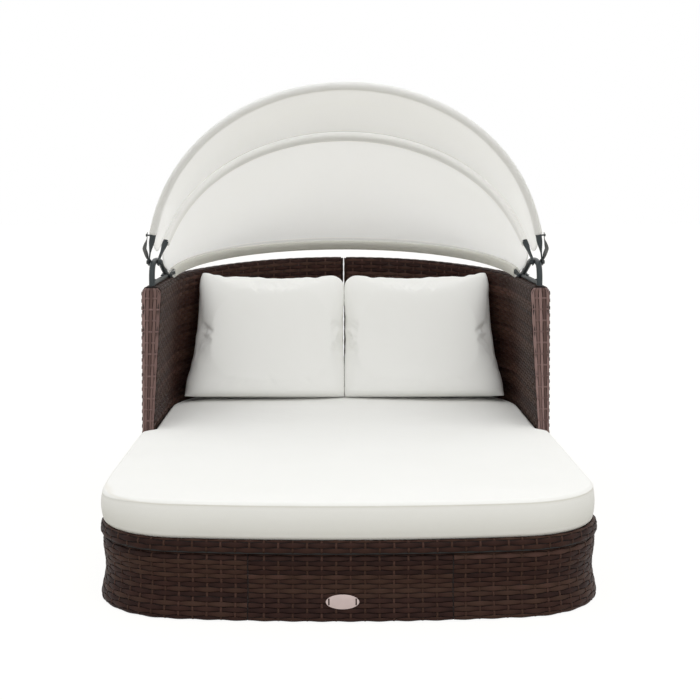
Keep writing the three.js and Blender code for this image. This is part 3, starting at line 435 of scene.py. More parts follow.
# place and outward direction on the outline, at a run counted from the middle of the front
def planPlace(run):
    run = np.asarray(run, float)
    side = np.where(run < 0, -1.0, 1.0)
    along = np.clip(np.abs(run), 0, halfRun)
    x, y, nx, ny = (np.zeros_like(along) for _ in range(4))
    arcs = {0: (0, plan["bowRadius"], plan["bowRadius"], -math.pi / 2),
            1: (frontCornerX, frontCornerY, plan["frontCorner"], frontTurn - math.pi / 2),
            3: (rearCornerX, rearCornerY, plan["rearCorner"], 0)}
    for i, (low, high) in enumerate(zip(marks[:-1], marks[1:])):
        here = (along >= low) & (along <= high)
        t = along[here] - low
        if i in arcs:
            centreX, centreY, radius, start = arcs[i]
            nx[here], ny[here] = np.cos(start + t / radius), np.sin(start + t / radius)
            x[here], y[here] = centreX + radius * nx[here], centreY + radius * ny[here]
        else:
            x[here] = plan["halfWidth"] if i == 2 else rearCornerX - t
            y[here] = frontCornerY + t if i == 2 else plan["length"]
            nx[here], ny[here] = (1, 0) if i == 2 else (0, 1)
    return x * side, y + frontY, nx * side, ny


# surface over the outline whose section is a line of (outward, height)
def bandSurface(points):
    points = np.array(points, float)
    lengths = np.concatenate([[0], np.cumsum(np.hypot(*np.diff(points, axis=0).T))])
    tangent = np.gradient(points, lengths, axis=0)
    tangent /= np.hypot(*tangent.T)[:, None]

    def at(run, length):
        x, y, nx, ny = planPlace(run)
        out, z, tOut, tZ = (np.interp(length + 0 * x, lengths, column) for column in (*points.T, *tangent.T))
        place = np.stack([x + nx * out, y + ny * out, z], -1)
        return place, np.stack([nx * tZ, ny * tZ, -tOut], -1)
    return at, lengths[-1]


# flat strands that wave over and under upright stakes
weave = {"pitch": 0.0118, "stake": 0.0355, "halfWidth": 0.0063, "thickness": 0.0008, "wave": 0.0008, "stand": 0.0009,
         "pinch": 0.13, "stakeHalfWidth": 0.003, "stakeSink": 0.0002, "stakeMargin": 0.004, "samples": 4,
         "drift": 0.0007, "driftWaves": 6, "toneDrift": 0.3, "toneWaves": 4, "crestLightShade": 0.14,
         "tones": [0.05, 0.3, 0.45, 0.65, 0.85], "toneOdds": [0.3, 0.22, 0.2, 0.18, 0.1],
         "stakeTone": 0.55, "stakeToneSpread": 0.4}
strandShape = [(-1, 0.15), (-0.7, 0.8), (0, 1.0), (0.7, 0.8), (1, 0.15), (0, -0.9)]
stakeShape = [(-1, -0.3), (-0.55, 0.7), (0.55, 0.7), (1, -0.3)]


def ribbons(name, lines, shape, material):
    points, quads, tones, runs, start = [], [], [], [], 0
    count = len(shape)
    for ring, tone, run in lines:
        n = len(ring)
        points.append(ring.reshape(-1, 3))
        quads += [start + ringGrid(n, count), start + endFaces(n, count)]
        tones.append(np.repeat(tone + np.zeros(n), count))
        runs.append(run.reshape(-1, 3))
        start += n * count
    piece = linkMesh(name, np.concatenate(points), np.concatenate(quads))
    pointAttribute(piece, "tone", np.concatenate(tones))
    vectorAttribute(piece, "run", np.concatenate(runs))
    return finishPiece(piece, material, "daybed", "wicker")


# one strand or stake: middles and directions in, cross-sections out
def strandLine(surface, steps, middle, halfWidth, heights, shape, alongStake=False):
    ring = np.zeros((len(steps), len(shape), 3))
    for k, (across, up) in enumerate(shape):
        if alongStake:
            place, normal = surface(middle + across * halfWidth + 0 * steps, steps)
        else:
            place, normal = surface(steps, middle + across * halfWidth)
        ring[:, k] = place + normal * (weave["stand"] + heights + up * weave["thickness"])[:, None]
    return ring


def runVectors(steps, shape, halfWidth, number):
    run = np.zeros((len(steps), len(shape), 3))
    run[..., 0] = steps[:, None] + 3.1 * number
    run[..., 1] = np.array([s[0] for s in shape]) * halfWidth + 0.05 * number
    return run


# slow noise along a run, each time from another place in the noise
def slowNoise(steps, waves, layer):
    lead = 50 * random.random()
    return np.array([noise.noise(Vector((s * waves, lead, layer))) for s in steps])


# a strand's tone drifts along its run, as strands are joined and lie turned either way
def strandTone(steps):
    middle = random.choice(weave["tones"], p=weave["toneOdds"])
    return np.clip(middle + weave["toneDrift"] * slowNoise(steps, weave["toneWaves"], 0.5), 0, 1)


def strandDrift(steps):
    return weave["drift"] * slowNoise(steps, weave["driftWaves"], 1.5)


def weavePanel(name, surface, runs, rows, firstRow=0):
    low, high = runs
    step = weave["stake"] / weave["samples"]
    inner = np.arange(math.ceil(low / step), math.floor(high / step) + 1) * step
    samples = np.unique(np.round(np.concatenate([[low], inner, [high]]), 6))
    lines = []
    for j, middle in enumerate(rows):
        rise = np.cos(math.pi * (samples / weave["stake"] + (firstRow + j) % 2))
        inside = np.clip(np.minimum(middle - rows[0], rows[-1] - middle) / weave["pitch"], 0, 1)
        wide = weave["halfWidth"] * (1 - weave["pinch"] + weave["pinch"] * rise)
        drifting = middle + inside * strandDrift(samples)
        ring = strandLine(surface, samples, drifting, wide, weave["wave"] * rise, strandShape)
        # painted light and shade: a strand is lighter where it rises over a stake and darker where it dips under one
        tone = np.clip(strandTone(samples) + weave["crestLightShade"] * rise, 0, 1)
        lines.append((ring, tone, runVectors(samples, strandShape, weave["halfWidth"], j)))
    ribbons(f"{name}_strands", lines, strandShape, wicker)
    pitch = rows[1] - rows[0]
    lengths = np.concatenate([[rows[0] - pitch / 2], np.ravel([[m, m + pitch / 2] for m in rows])])
    lines = []
    firstStake = math.ceil((low + weave["stakeMargin"]) / weave["stake"])
    lastStake = math.floor((high - weave["stakeMargin"]) / weave["stake"])
    for number in range(firstStake, lastStake + 1):
        dips = np.array([-math.cos(math.pi * (number + firstRow + j)) for j in range(len(rows))])
        waves = np.concatenate([[0.0], np.ravel(np.stack([dips, 0 * dips], -1))])
        heights = waves * weave["wave"] - weave["stakeSink"]
        ring = strandLine(surface, lengths, number * weave["stake"], weave["stakeHalfWidth"], heights, stakeShape, True)
        tone = weave["stakeTone"] + weave["stakeToneSpread"] * random.random()
        lines.append((ring, tone, runVectors(lengths, stakeShape, weave["stakeHalfWidth"], number)))
    ribbons(f"{name}_stakes", lines, stakeShape, wicker)


def evenRows(low, high):
    count = max(2, round((high - low) / weave["pitch"]))
    size = (high - low) / count
    return low + size * (np.arange(count) + 0.5)


def roundEdge(out, z, radius, start, steps):
    turns = start + np.linspace(0, math.pi / 2, steps + 1)[1:]
    return [(out + radius * math.cos(t), z + radius * math.sin(t)) for t in turns]


# skirt: rounded foot, waisted side and rounded rim, in three panels
skirt = {"bottom": 0.003, "top": 0.168, "waist": 0.008, "flare": 0.003, "footRound": 0.008, "rimRound": 0.016,
         "rimInset": 0.002, "seam": 0.253, "gap": 0.0014}


def skirtProfile():
    footTop = skirt["bottom"] + skirt["footRound"]
    rimFrom = skirt["top"] - skirt["rimRound"]
    quarter = np.linspace(0, math.pi / 2, 9)
    foot = [(skirt["flare"] - skirt["footRound"] * (1 - math.sin(t)), footTop - skirt["footRound"] * math.cos(t))
            for t in quarter[:-1]]
    middle = [(skirt["flare"] * (1 - s) ** 2 - skirt["waist"] * math.sin(math.pi * s) ** 2 - skirt["rimInset"] * s,
               footTop + (rimFrom - footTop) * s) for s in np.linspace(0, 1, 41)]
    return foot + middle + roundEdge(-skirt["rimInset"] - skirt["rimRound"], rimFrom, skirt["rimRound"], 0, 8)


skirtSurface, skirtRun = bandSurface(skirtProfile())
skirtRows = evenRows(0.002, skirtRun - 0.002)
seamRun = plan["bowRadius"] * math.asin(skirt["seam"] / plan["bowRadius"])
weavePanel("skirt_front", skirtSurface, (-seamRun + skirt["gap"], seamRun - skirt["gap"]), skirtRows)
weavePanel("skirt_left", skirtSurface, (-halfRun + skirt["gap"] / 2, -seamRun - skirt["gap"]), skirtRows)
weavePanel("skirt_right", skirtSurface, (seamRun + skirt["gap"], halfRun - skirt["gap"] / 2), skirtRows)
print("skirt woven")


# edge of the deck, above the shadow gap
deck = {"bottom": 0.172, "top": 0.2, "round": 0.008, "reach": 0.006, "tuck": 0.002}
out = plan["overhang"]
deckProfile = [(out - deck["tuck"], deck["bottom"])]
deckProfile += [(out, z) for z in np.linspace(deck["bottom"] + deck["tuck"], deck["top"] - deck["round"], 5)]
deckProfile += roundEdge(out - deck["round"], deck["top"] - deck["round"], deck["round"], 0, 6)
deckProfile += [(out - deck["round"] - deck["reach"], deck["top"])]
deckSurface, deckRun = bandSurface(deckProfile)
weavePanel("deck", deckSurface, (-halfRun, halfRun), evenRows(0.001, deckRun), 1)
print("deck edge woven")


# wall: two halves that meet at a slot behind, with a tapered section
wall = {"proud": 0.004, "topThickness": 0.06, "footThickness": 0.035, "taperFrom": 0.3, "armFront": 1.04,
        "armTop": 0.746, "rearTop": 0.789, "slot": 0.008, "topRound": 0.02, "foot": 0.2003, "endRound": 0.009,
        "insideTo": 0.285, "endMargin": 0.006}
wallCap = {"columns": 5, "halfWidth": 0.094, "pinch": 0.06, "tones": [0.15, 0.45, 0.8], "stakeTone": 0.6}
armX = plan["halfWidth"] + wall["proud"] - wall["topThickness"] / 2
wallInner = wall["proud"] - wall["topThickness"]
wallFootInner = wall["proud"] - wall["footThickness"]


def wallTop(x, nx):
    share = np.minimum(np.abs(x + nx * (wall["proud"] - wall["topThickness"] / 2)) / armX, 1)
    return wall["rearTop"] - (wall["rearTop"] - wall["armTop"]) * share ** 2


# how far in the wall's inner face stands at a height
def innerStand(z, top):
    leaning = np.clip((z - wall["taperFrom"]) / (top - wall["topRound"] - wall["taperFrom"]), 0, 1)
    return wallFootInner + (wallInner - wallFootInner) * leaning


def wallSections(top):
    radius = wall["topRound"]
    turns = np.linspace(0, math.pi / 2, 7)
    points = [(wall["proud"], wall["foot"] + 0 * top), (wall["proud"], top - radius)]
    points += [(wall["proud"] - radius * (1 - math.cos(t)), top - radius * (1 - math.sin(t))) for t in turns[1:]]
    points += [(wallInner + radius * (1 - math.sin(t)), top - radius * (1 - math.cos(t))) for t in turns]
    points += [(wallFootInner, wall["taperFrom"] + 0 * top), (wallFootInner, wall["insideTo"] + 0 * top)]
    return np.array([(out + 0 * top, z) for out, z in points])


wallMarks = wallSections(np.array([wall["armTop"]]))[:, :, 0]
wallMarks = np.concatenate([[0], np.cumsum(np.hypot(*np.diff(wallMarks, axis=0).T))])


def wallSurface(run, length):
    x, y, nx, ny = planPlace(run)
    sections = wallSections(wallTop(x, nx))
    length = np.clip(length + 0 * x, 0, wallMarks[-1])
    i = np.clip(np.searchsorted(wallMarks, length, side="right") - 1, 0, len(wallMarks) - 2)
    share = (length - wallMarks[i]) / (wallMarks[i + 1] - wallMarks[i])
    pick = np.arange(len(x))
    a, b = sections[i, :, pick], sections[i + 1, :, pick]
    out, z = (a + (b - a) * share[:, None]).T
    tOut, tZ = ((b - a) / np.hypot(*(b - a).T)[:, None]).T
    return np.stack([x + nx * out, y + ny * out, z], -1), np.stack([nx * tZ, ny * tZ, -tOut], -1)


wallStart = sideRun + wall["armFront"] - frontCornerY  # run at the arm's front end
for side, sign in (("right", 1), ("left", -1)):
    ends = sorted((sign * (wallStart + wall["endMargin"]), sign * (halfRun - wall["slot"] / 2 - wall["endMargin"])))
    weavePanel(f"wall_{side}", wallSurface, ends, evenRows(0.001, wallMarks[-1] - 0.001))


# woven end of a wall half: strands run up and down, stakes lie across
def endCap(name, sign, atFront):
    station = wallStart if atFront else halfRun - wall["slot"] / 2
    x, y, nx, ny = (float(v) for v in planPlace(sign * station))
    facing = np.array([0, -1, 0]) if atFront else np.array([-sign, 0, 0])
    top = float(wallTop(np.array([x]), np.array([nx]))[0])
    columns = wallCap["columns"]

    def surface(z, share):
        z, share = z + 0 * share, share + 0 * z
        inner = innerStand(z, top)
        over = np.clip(z - (top - wall["topRound"]), 0, wall["topRound"])
        rounded = wall["topRound"] - np.sqrt(np.maximum(wall["topRound"] ** 2 - over ** 2, 0))
        narrowed = rounded * 2 / wall["topThickness"]
        centre = (wall["proud"] + inner) / 2
        out = centre + (wall["proud"] + (inner - wall["proud"]) * share - centre) * (1 - narrowed)
        edge = np.abs(share - 0.5) * 2
        back = wall["endRound"] * 0.6 * np.clip((edge - 0.55) / 0.45, 0, 1) ** 2
        place = np.stack([x + nx * out, y + ny * out, z], -1) - facing * back[..., None]
        lean = np.clip((edge - 0.4) * 3, 0, 1.4) * (0.5 - share)
        normal = facing + np.stack([nx * lean, ny * lean, 0 * lean], -1)
        return place, normal / np.linalg.norm(normal, axis=-1)[..., None]

    # the arms' front ends take the lighter copy, which is painted light
    material = capWickerPaintedLight if atFront else wicker
    samples = np.arange(wall["foot"] + 0.001, top - 0.0015, weave["stake"] / weave["samples"])
    lines = []
    for j in range(columns):
        rise = np.cos(math.pi * (samples / weave["stake"] + j % 2))
        wide = wallCap["halfWidth"] * (1 - wallCap["pinch"] + wallCap["pinch"] * rise)
        ring = strandLine(surface, samples, (j + 0.5) / columns, wide, weave["wave"] * rise, strandShape)
        tone = float(random.choice(wallCap["tones"]))
        lines.append((ring, tone, runVectors(samples, strandShape, weave["halfWidth"], j)))
    ribbons(f"{name}_strands", lines, strandShape, material)
    shares = np.linspace(0.02, 0.98, 21)
    lines = []
    for number in range(math.ceil(samples[0] / weave["stake"]), math.floor(samples[-1] / weave["stake"]) + 1):
        heights = -np.cos(math.pi * (number + shares * columns - 0.5)) * weave["wave"] - weave["stakeSink"]
        ring = strandLine(surface, shares, number * weave["stake"], weave["stakeHalfWidth"], heights, stakeShape, True)
        run = runVectors(shares * wall["topThickness"], stakeShape, weave["stakeHalfWidth"], number)
        lines.append((ring, wallCap["stakeTone"], run))
    ribbons(f"{name}_stakes", lines, stakeShape, material)


for side, sign in (("right", 1), ("left", -1)):
    endCap(f"arm_end_{side}", sign, True)
    endCap(f"slot_end_{side}", sign, False)
print("wall woven")


# bows: round tubes with their ends pressed flat, on the brackets' bolts
bows = {"tubeRadius": 0.0095, "tongueThickness": 0.005, "tongueHalfWidth": 0.0125, "tongueFlat": 0.012,
        "tongueLength": 0.028, "tongueTaper": 0.055, "sides": 20, "boltRadius": 0.0043, "smallBoltRadius": 0.0033,
        "boreDepth": 0.03}
bracket = {"front": 1.06, "length": 0.429, "height": 0.077, "foot": 0.7463, "tubeRadius": 0.0095, "barRadius": 0.008,
           "rearFixShare": 0.92, "footBolts": (0.128, 0.63), "footBoreDepth": 0.05, "underCut": (0.2, 0.8, 0.1),
           "shares": [(0, 0), (0, 0.5), (0.035, 0.84), (0.125, 0.975), (0.25, 1), (0.49, 0.87), (0.79, 0.37), (1, 0)]}
pivotFoot = (hinge.y, hinge.z)
rearFoot = (frontY + bracket["front"] + bracket["length"] * bracket["rearFixShare"],
            bracket["foot"] + bracket["tubeRadius"])
frontBow = {"endX": 0.6336, "radius": 0.6156, "lean": -27, "tongue": 0.0125, "foot": pivotFoot}
middleBow = {"endX": 0.6044, "radius": 0.5854, "lean": 44.3, "tongue": 0.0125, "foot": pivotFoot}
rearBow = {"endX": 0.6067, "radius": 0.5997, "lean": 82.5, "tongue": 0.009, "foot": rearFoot}


# places on a bow's middle line, by the angle from its right foot
def bowPoint(bow, turn):
    turn = np.asarray(turn, float)
    side = np.where(turn > math.pi / 2, -1.0, 1.0)
    fromEnd = np.minimum(turn, math.pi - turn)
    flat = bows["tongueFlat"] / bow["radius"]
    bend = np.maximum(fromEnd - flat, 0) * (math.pi / 2) / (math.pi / 2 - flat)
    spread = bow["radius"] + (bow["endX"] - bow["radius"]) * (1 - np.sin(bend)) ** 6
    up = bow["radius"] * np.where(fromEnd < 0, fromEnd, np.sin(fromEnd))
    lean = math.radians(bow["lean"])
    y, z = bow["foot"][0] + up * math.sin(lean), bow["foot"][1] + up * math.cos(lean)
    return np.stack([side * spread * np.cos(bend), y, z], -1)


def bowBack(bow):
    lean = math.radians(bow["lean"])
    return np.array([0, math.cos(lean), -math.sin(lean)])


# tube along a path in a plane; sizes are its half sizes in the plane and across it
def tubePiece(name, path, planeNormal, sizes, sides):
    ahead = np.gradient(path, axis=0)
    inPlane = np.cross(ahead, planeNormal)
    inPlane /= np.linalg.norm(inPlane, axis=1)[:, None]
    turns = np.arange(sides) / sides * 2 * math.pi
    rings = (path[:, None] + inPlane[:, None] * (sizes[:, 0, None] * np.cos(turns))[..., None]
             + planeNormal * (sizes[:, 1, None] * np.sin(turns))[..., None])
    last = (len(path) - 1) * sides
    middles = [path[0], path[-1]]
    count = len(path) * sides
    fans = [(k, count, (k + 1) % sides) for k in range(sides)]
    fans += [(last + k, last + (k + 1) % sides, count + 1) for k in range(sides)]
    points = np.concatenate([rings.reshape(-1, 3), middles])
    return linkMesh(name, points, ringGrid(len(path), sides)[:, ::-1], True, [f[::-1] for f in fans])


def bowPiece(name, bow, boltRadius, body, node):
    endTurn = bows["tongueHalfWidth"] * 0.95 / bow["radius"]
    near = np.concatenate([np.linspace(-endTurn, 0, 8)[:-1], np.linspace(0, 0.12 / bow["radius"], 26)])
    turns = np.concatenate([near, np.linspace(near[-1], math.pi - near[-1], 110)[1:-1], math.pi - near[::-1]])
    along = np.minimum(turns, math.pi - turns) * bow["radius"]
    share = smoothStep(np.clip((along - bows["tongueLength"]) / bows["tongueTaper"], 0, 1))
    flat = bows["tongueThickness"] / 2
    rounded = bow["tongue"] * np.sqrt(np.clip(1 - (np.minimum(along, 0) / bows["tongueHalfWidth"]) ** 2, 0.06, 1))
    thick = flat + (bows["tubeRadius"] - flat) * share
    wide = np.where(along < 0, rounded, bow["tongue"] + (bows["tubeRadius"] - bow["tongue"]) * share)
    piece = tubePiece(name, bowPoint(bow, turns), bowBack(bow), np.stack([thick, wide], -1), bows["sides"])
    for side in (1, -1):
        bore(piece, (side * bow["endX"], *bow["foot"]), (1, 0, 0), boltRadius, bows["boreDepth"])
    return finishPiece(piece, coatedSteel, body, "coated_steel", node)


bowPiece("front_bow_tube", frontBow, bows["boltRadius"], "front_bow", "front_bow")
bowPiece("middle_bow_tube", middleBow, bows["boltRadius"], "middle_bow", "middle_bow")
bowPiece("rear_bow_tube", rearBow, bows["smallBoltRadius"], "daybed", "rear_bow")
print("bows made")


# points along a smooth curve through the given ones, the ends held
def smoothCurve(places, perSpan):
    places = np.array(places, float)
    padded = np.concatenate([[2 * places[0] - places[1]], places, [2 * places[-1] - places[-2]]])
    knots = np.concatenate([[0], np.cumsum(np.sqrt(np.linalg.norm(np.diff(padded, axis=0), axis=1)))])
    curve = []
    for i in range(1, len(padded) - 2):
        p0, p1, p2, p3 = padded[i - 1:i + 3]
        t0, t1, t2, t3 = knots[i - 1:i + 3]
        t = np.linspace(t1, t2, perSpan, endpoint=False)[:, None]
        a1 = p0 * (t1 - t) / (t1 - t0) + p1 * (t - t0) / (t1 - t0)
        a2 = p1 * (t2 - t) / (t2 - t1) + p2 * (t - t1) / (t2 - t1)
        a3 = p2 * (t3 - t) / (t3 - t2) + p3 * (t - t2) / (t3 - t2)
        b1 = a1 * (t2 - t) / (t2 - t0) + a2 * (t - t0) / (t2 - t0)
        b2 = a2 * (t3 - t) / (t3 - t1) + a3 * (t - t1) / (t3 - t1)
        curve.append(b1 * (t2 - t) / (t2 - t1) + b2 * (t - t1) / (t2 - t1))
    return np.concatenate([*curve, padded[-2:-1]])


def bracketPiece(name, side, node):
    x, foot, length = side * armX, bracket["foot"], bracket["length"]
    front = frontY + bracket["front"]
    back = front + length * bracket["rearFixShare"]
    line = smoothCurve([(x, front + length * a, foot + bracket["height"] * h) for a, h in bracket["shares"]], 9)
    line = np.concatenate([line, [line[-1] + (line[-1] - line[-2])]])
    sizes = np.full((len(line), 2), bracket["tubeRadius"])
    loop = tubePiece(name, line, np.array([1.0, 0, 0]), sizes, bows["sides"])
    deselectAll()
    bpy.ops.mesh.primitive_cylinder_add(
        vertices=bows["sides"], radius=bracket["barRadius"], depth=back - front, rotation=(math.pi / 2, 0, 0),
        location=(x, (front + back) / 2, foot + bracket["barRadius"]))
    combine(loop, bpy.context.object, "UNION")
    bpy.ops.mesh.primitive_cube_add(size=1, location=(x, (front + back) / 2, foot - bracket["underCut"][2] / 2),
                                    scale=bracket["underCut"])
    combine(loop, bpy.context.object)
    bore(loop, (x, hinge.y, hinge.z), (1, 0, 0), bows["boltRadius"], bows["boreDepth"])
    bore(loop, (x, *rearFoot), (1, 0, 0), bows["smallBoltRadius"], bows["boreDepth"])
    for share in bracket["footBolts"]:
        bore(loop, (x, front + length * share, foot), (0, 0, 1), bows["smallBoltRadius"], bracket["footBoreDepth"])
    activate(loop)
    bpy.ops.object.shade_smooth_by_angle(angle=math.radians(38))
    return finishPiece(loop, coatedSteel, "daybed", "coated_steel", node)


bracketPiece("bracket_loop_right", 1, "bracket_right")
bracketPiece("bracket_loop_left", -1, "bracket_left")

# strap from a pin on the front bow to the pivot bolt; stations are a share of its run, its elbow and its twist
strap = {"width": 0.013, "thickness": 0.0015, "elbow": 0.011, "twist": 75, "footX": 0.6376, "pinPlace": 0.1,
         "pinReach": 0.009, "pinStandoff": 0.0011, "pinRadius": 0.0028, "pinBoreDepth": 0.01, "boltBoreDepth": 0.02,
         "rings": 48,
         "stations": [(-0.1, 0, 0), (0, 0, 0), (0.1, 0, 0), (0.3, 0.5, 0.8), (0.5, 1, 1), (0.7, 0.6, 0.5),
                      (0.88, 0.12, 0), (1, 0, 0), (1.08, 0, 0)]}
strapShape = [(1, 0.6), (0.94, 1), (0, 1), (-0.94, 1), (-1, 0.6), (-1, -0.6), (-0.94, -1), (0, -1), (0.94, -1),
              (1, -0.6)]


def strapPiece(name, side, node):
    pinTurn = strap["pinPlace"] / frontBow["radius"]
    pin = bowPoint(frontBow, pinTurn)
    topX = pin[0] + bows["tubeRadius"] + strap["pinStandoff"] + strap["pinReach"] - strap["thickness"]
    stations = np.array(strap["stations"])
    along = np.linspace(stations[0, 0], stations[-1, 0], strap["rings"])
    out, twist = (np.interp(along, stations[:, 0], stations[:, i]) for i in (1, 2))
    kernel = np.array([1, 4, 6, 4, 1]) / 16
    out, twist = (np.convolve(np.pad(v, 2, "edge"), kernel, "valid") for v in (out, twist))
    lean = math.radians(frontBow["lean"])
    direction = np.array([0, math.sin(lean), math.cos(lean)])
    normal = bowBack(frontBow)
    middles = np.zeros((len(along), 3))
    middles[:, 0] = strap["footX"] + (topX - strap["footX"]) * np.clip(along, 0, 1) + strap["elbow"] * out
    middles += np.array([0, *pivotFoot]) + direction * (strap["pinPlace"] * along)[:, None]
    run = np.gradient(middles, axis=0)
    run /= np.linalg.norm(run, axis=1)[:, None]
    flat = np.cross(run, normal)
    flat /= np.linalg.norm(flat, axis=1)[:, None]
    turn = np.radians(strap["twist"]) * twist[:, None]
    wide = normal * np.cos(turn) + flat * np.sin(turn)
    thin = np.cross(wide, run)
    rings = np.stack([middles + wide * (w * strap["width"] / 2) + thin * (t * strap["thickness"] / 2)
                      for w, t in strapShape], 1)
    rings[..., 0] *= side
    size = len(rings), len(strapShape)
    piece = linkMesh(name, rings, np.concatenate([ringGrid(*size), endFaces(*size)]))
    bore(piece, (side * strap["footX"], hinge.y, hinge.z), (1, 0, 0), bows["boltRadius"], strap["boltBoreDepth"])
    bore(piece, (side * topX, pin[1], pin[2]), (1, 0, 0), strap["pinRadius"], strap["pinBoreDepth"])
    return finishPiece(piece, webbing, "front_bow", "webbing", node)


strapPiece("strap_webbing_right", 1, "strap_right")
strapPiece("strap_webbing_left", -1, "strap_left")
print("brackets and straps made")


# hood: one cover of doubled cloth with a sleeve round each bow
hood = {"cloth": 0.002, "slack": 0.0015, "tip": math.radians(42), "rings": 201, "hem": 26, "panel": 44, "sag": 0.011,
        "pucker": 0.0011, "puckerLength": 0.045, "puckerReach": 0.045, "skirtReach": 0.1, "endReach": 0.06,
        "broadSag": 0.004, "pocket": 6, "pocketTip": 1.2, "outerClear": 0.003, "innerClear": 0.001}
# doubledShade is how strongly each sleeve's doubled cloth gets the painted shade
sleeves = {"front": {"bow": frontBow, "halfWidth": 0.0128, "square": 0.85, "bare": 0.108, "doubledShade": 0.05},
           "middle": {"bow": middleBow, "halfWidth": 0.0165, "square": 0.6, "bare": 0.086, "doubledShade": 0.4},
           "rear": {"bow": rearBow, "halfWidth": 0.0175, "square": 0.6, "bare": 0.04, "doubledShade": 1}}
panels = {"front": {"seed": 1.7, "span": 0.7, "hang": 0.55}, "rear": {"seed": 5.2, "span": 0.66, "hang": 0.8}}
reachOut = bows["tubeRadius"] + hood["slack"] + hood["cloth"]
middleFollows = 0.26  # share of the front bow's turn that the middle bow makes


# a sleeve's values with its middle line and directions, at shares of its run
def sleeveFrame(name, share):
    bow = sleeves[name]["bow"]
    first = sleeves[name]["bare"] / bow["radius"]
    turn = first + (math.pi - 2 * first) * share
    lean = math.radians(bow["lean"])
    out = np.stack([np.cos(turn), np.sin(turn) * math.sin(lean), np.sin(turn) * math.cos(lean)], -1)
    return {**sleeves[name], "middle": bowPoint(bow, turn), "back": bowBack(bow), "out": out}


# across and up on a section between a circle and a square
def squaredRound(turn, square):
    return (np.sign(v) * np.abs(v) ** square for v in (np.cos(turn), np.sin(turn)))


def onSleeve(sleeve, turn, inset):
    across, up = squaredRound(np.asarray(turn, float), sleeve["square"])
    return (sleeve["middle"] + sleeve["back"] * ((sleeve["halfWidth"] - inset) * across)[..., None]
            + sleeve["out"] * ((reachOut - inset) * up)[..., None])


# where on a sleeve's section the panel to the next sleeve leaves it
def leaveAngle(start, end, side):
    chord = end["middle"] - start["middle"]
    return math.pi / 2 - side * np.arctan2(-(chord * start["out"]).sum(-1), side * (chord * start["back"]).sum(-1))


def hemLine(sleeve, start, end, steps, inset):
    return [onSleeve(sleeve, start + (end - start) * k / steps, inset) for k in range(steps + 1)]


# how far a panel stands in from the straight line between its sleeves
def panelDrop(share, ring, seed, span):
    ends = np.minimum(ring, 1 - ring)
    nearEnd = np.exp(-ends / hood["endReach"])
    drop = hood["sag"] * 4 * share * (1 - share) * (1 - 0.8 * nearEnd)
    for k in (0, 1):
        near = (share if k == 0 else 1 - share) * span
        ripple = np.array([noise.noise(Vector((r * 1.9 / hood["puckerLength"], near * 9, seed + 7.3 * k)))
                           for r in ring])
        drop = drop + hood["pucker"] * np.exp(-near / hood["puckerReach"]) * ripple * min(1, near / 0.006)
    broad = np.array([noise.noise(Vector((r * 7, share * 3, seed + 3.1))) for r in ring])
    return drop + hood["broadSag"] * broad * math.sin(math.pi * share)


# a panel between two sleeves; past their ends its free edge hangs down towards the line between the bows' feet
def panelLine(start, startAngle, end, endAngle, inset, drops, feet, reach):
    first, last = onSleeve(start, startAngle, inset), onSleeve(end, endAngle, inset)
    out = start["out"] + end["out"]
    out /= np.linalg.norm(out, axis=-1)[:, None]
    ring = np.linspace(0, 1, hood["rings"])
    fade = np.clip(1 - np.minimum(ring, 1 - ring) / hood["skirtReach"], 0, 1) ** 2
    lines = []
    for s, drop in zip(np.arange(1, hood["panel"]) / hood["panel"], drops):
        line = first + (last - first) * s - out * drop[:, None]
        foot = np.array(feet[0]) + (np.array(feet[1]) - np.array(feet[0])) * s
        pull = reach * math.sin(math.pi * s) ** 0.8 * fade
        line[:, 1:] += (foot - line[:, 1:]) * pull[:, None]
        lines.append(line)
    return lines


# at the joint's limit the front panel hangs in a fold between its two sleeves; a point's weight turns it
# about the hinge to there
def foldedWeights(lines, shares, clear):
    turn = math.radians(frame["joints"][0]["range_deg"][1])
    weights = []
    for line, share in zip(lines, shares):
        y, z = line[:, 1] - hinge.y, line[:, 2] - hinge.z
        reach = np.hypot(y, z)
        ahead = math.radians(frontBow["lean"]) + turn + (sleeves["front"]["halfWidth"] + clear) / reach
        behind = math.radians(middleBow["lean"]) + middleFollows * turn
        behind = behind - (sleeves["middle"]["halfWidth"] + clear) / reach
        between = (ahead + behind) / 2
        ahead, behind = np.minimum(ahead, between), np.maximum(behind, between)
        folded = ahead + (behind - ahead) * smoothStep(share)
        weights.append(np.clip((folded - np.arctan2(y, z)) / turn, 0, 1))
    return weights


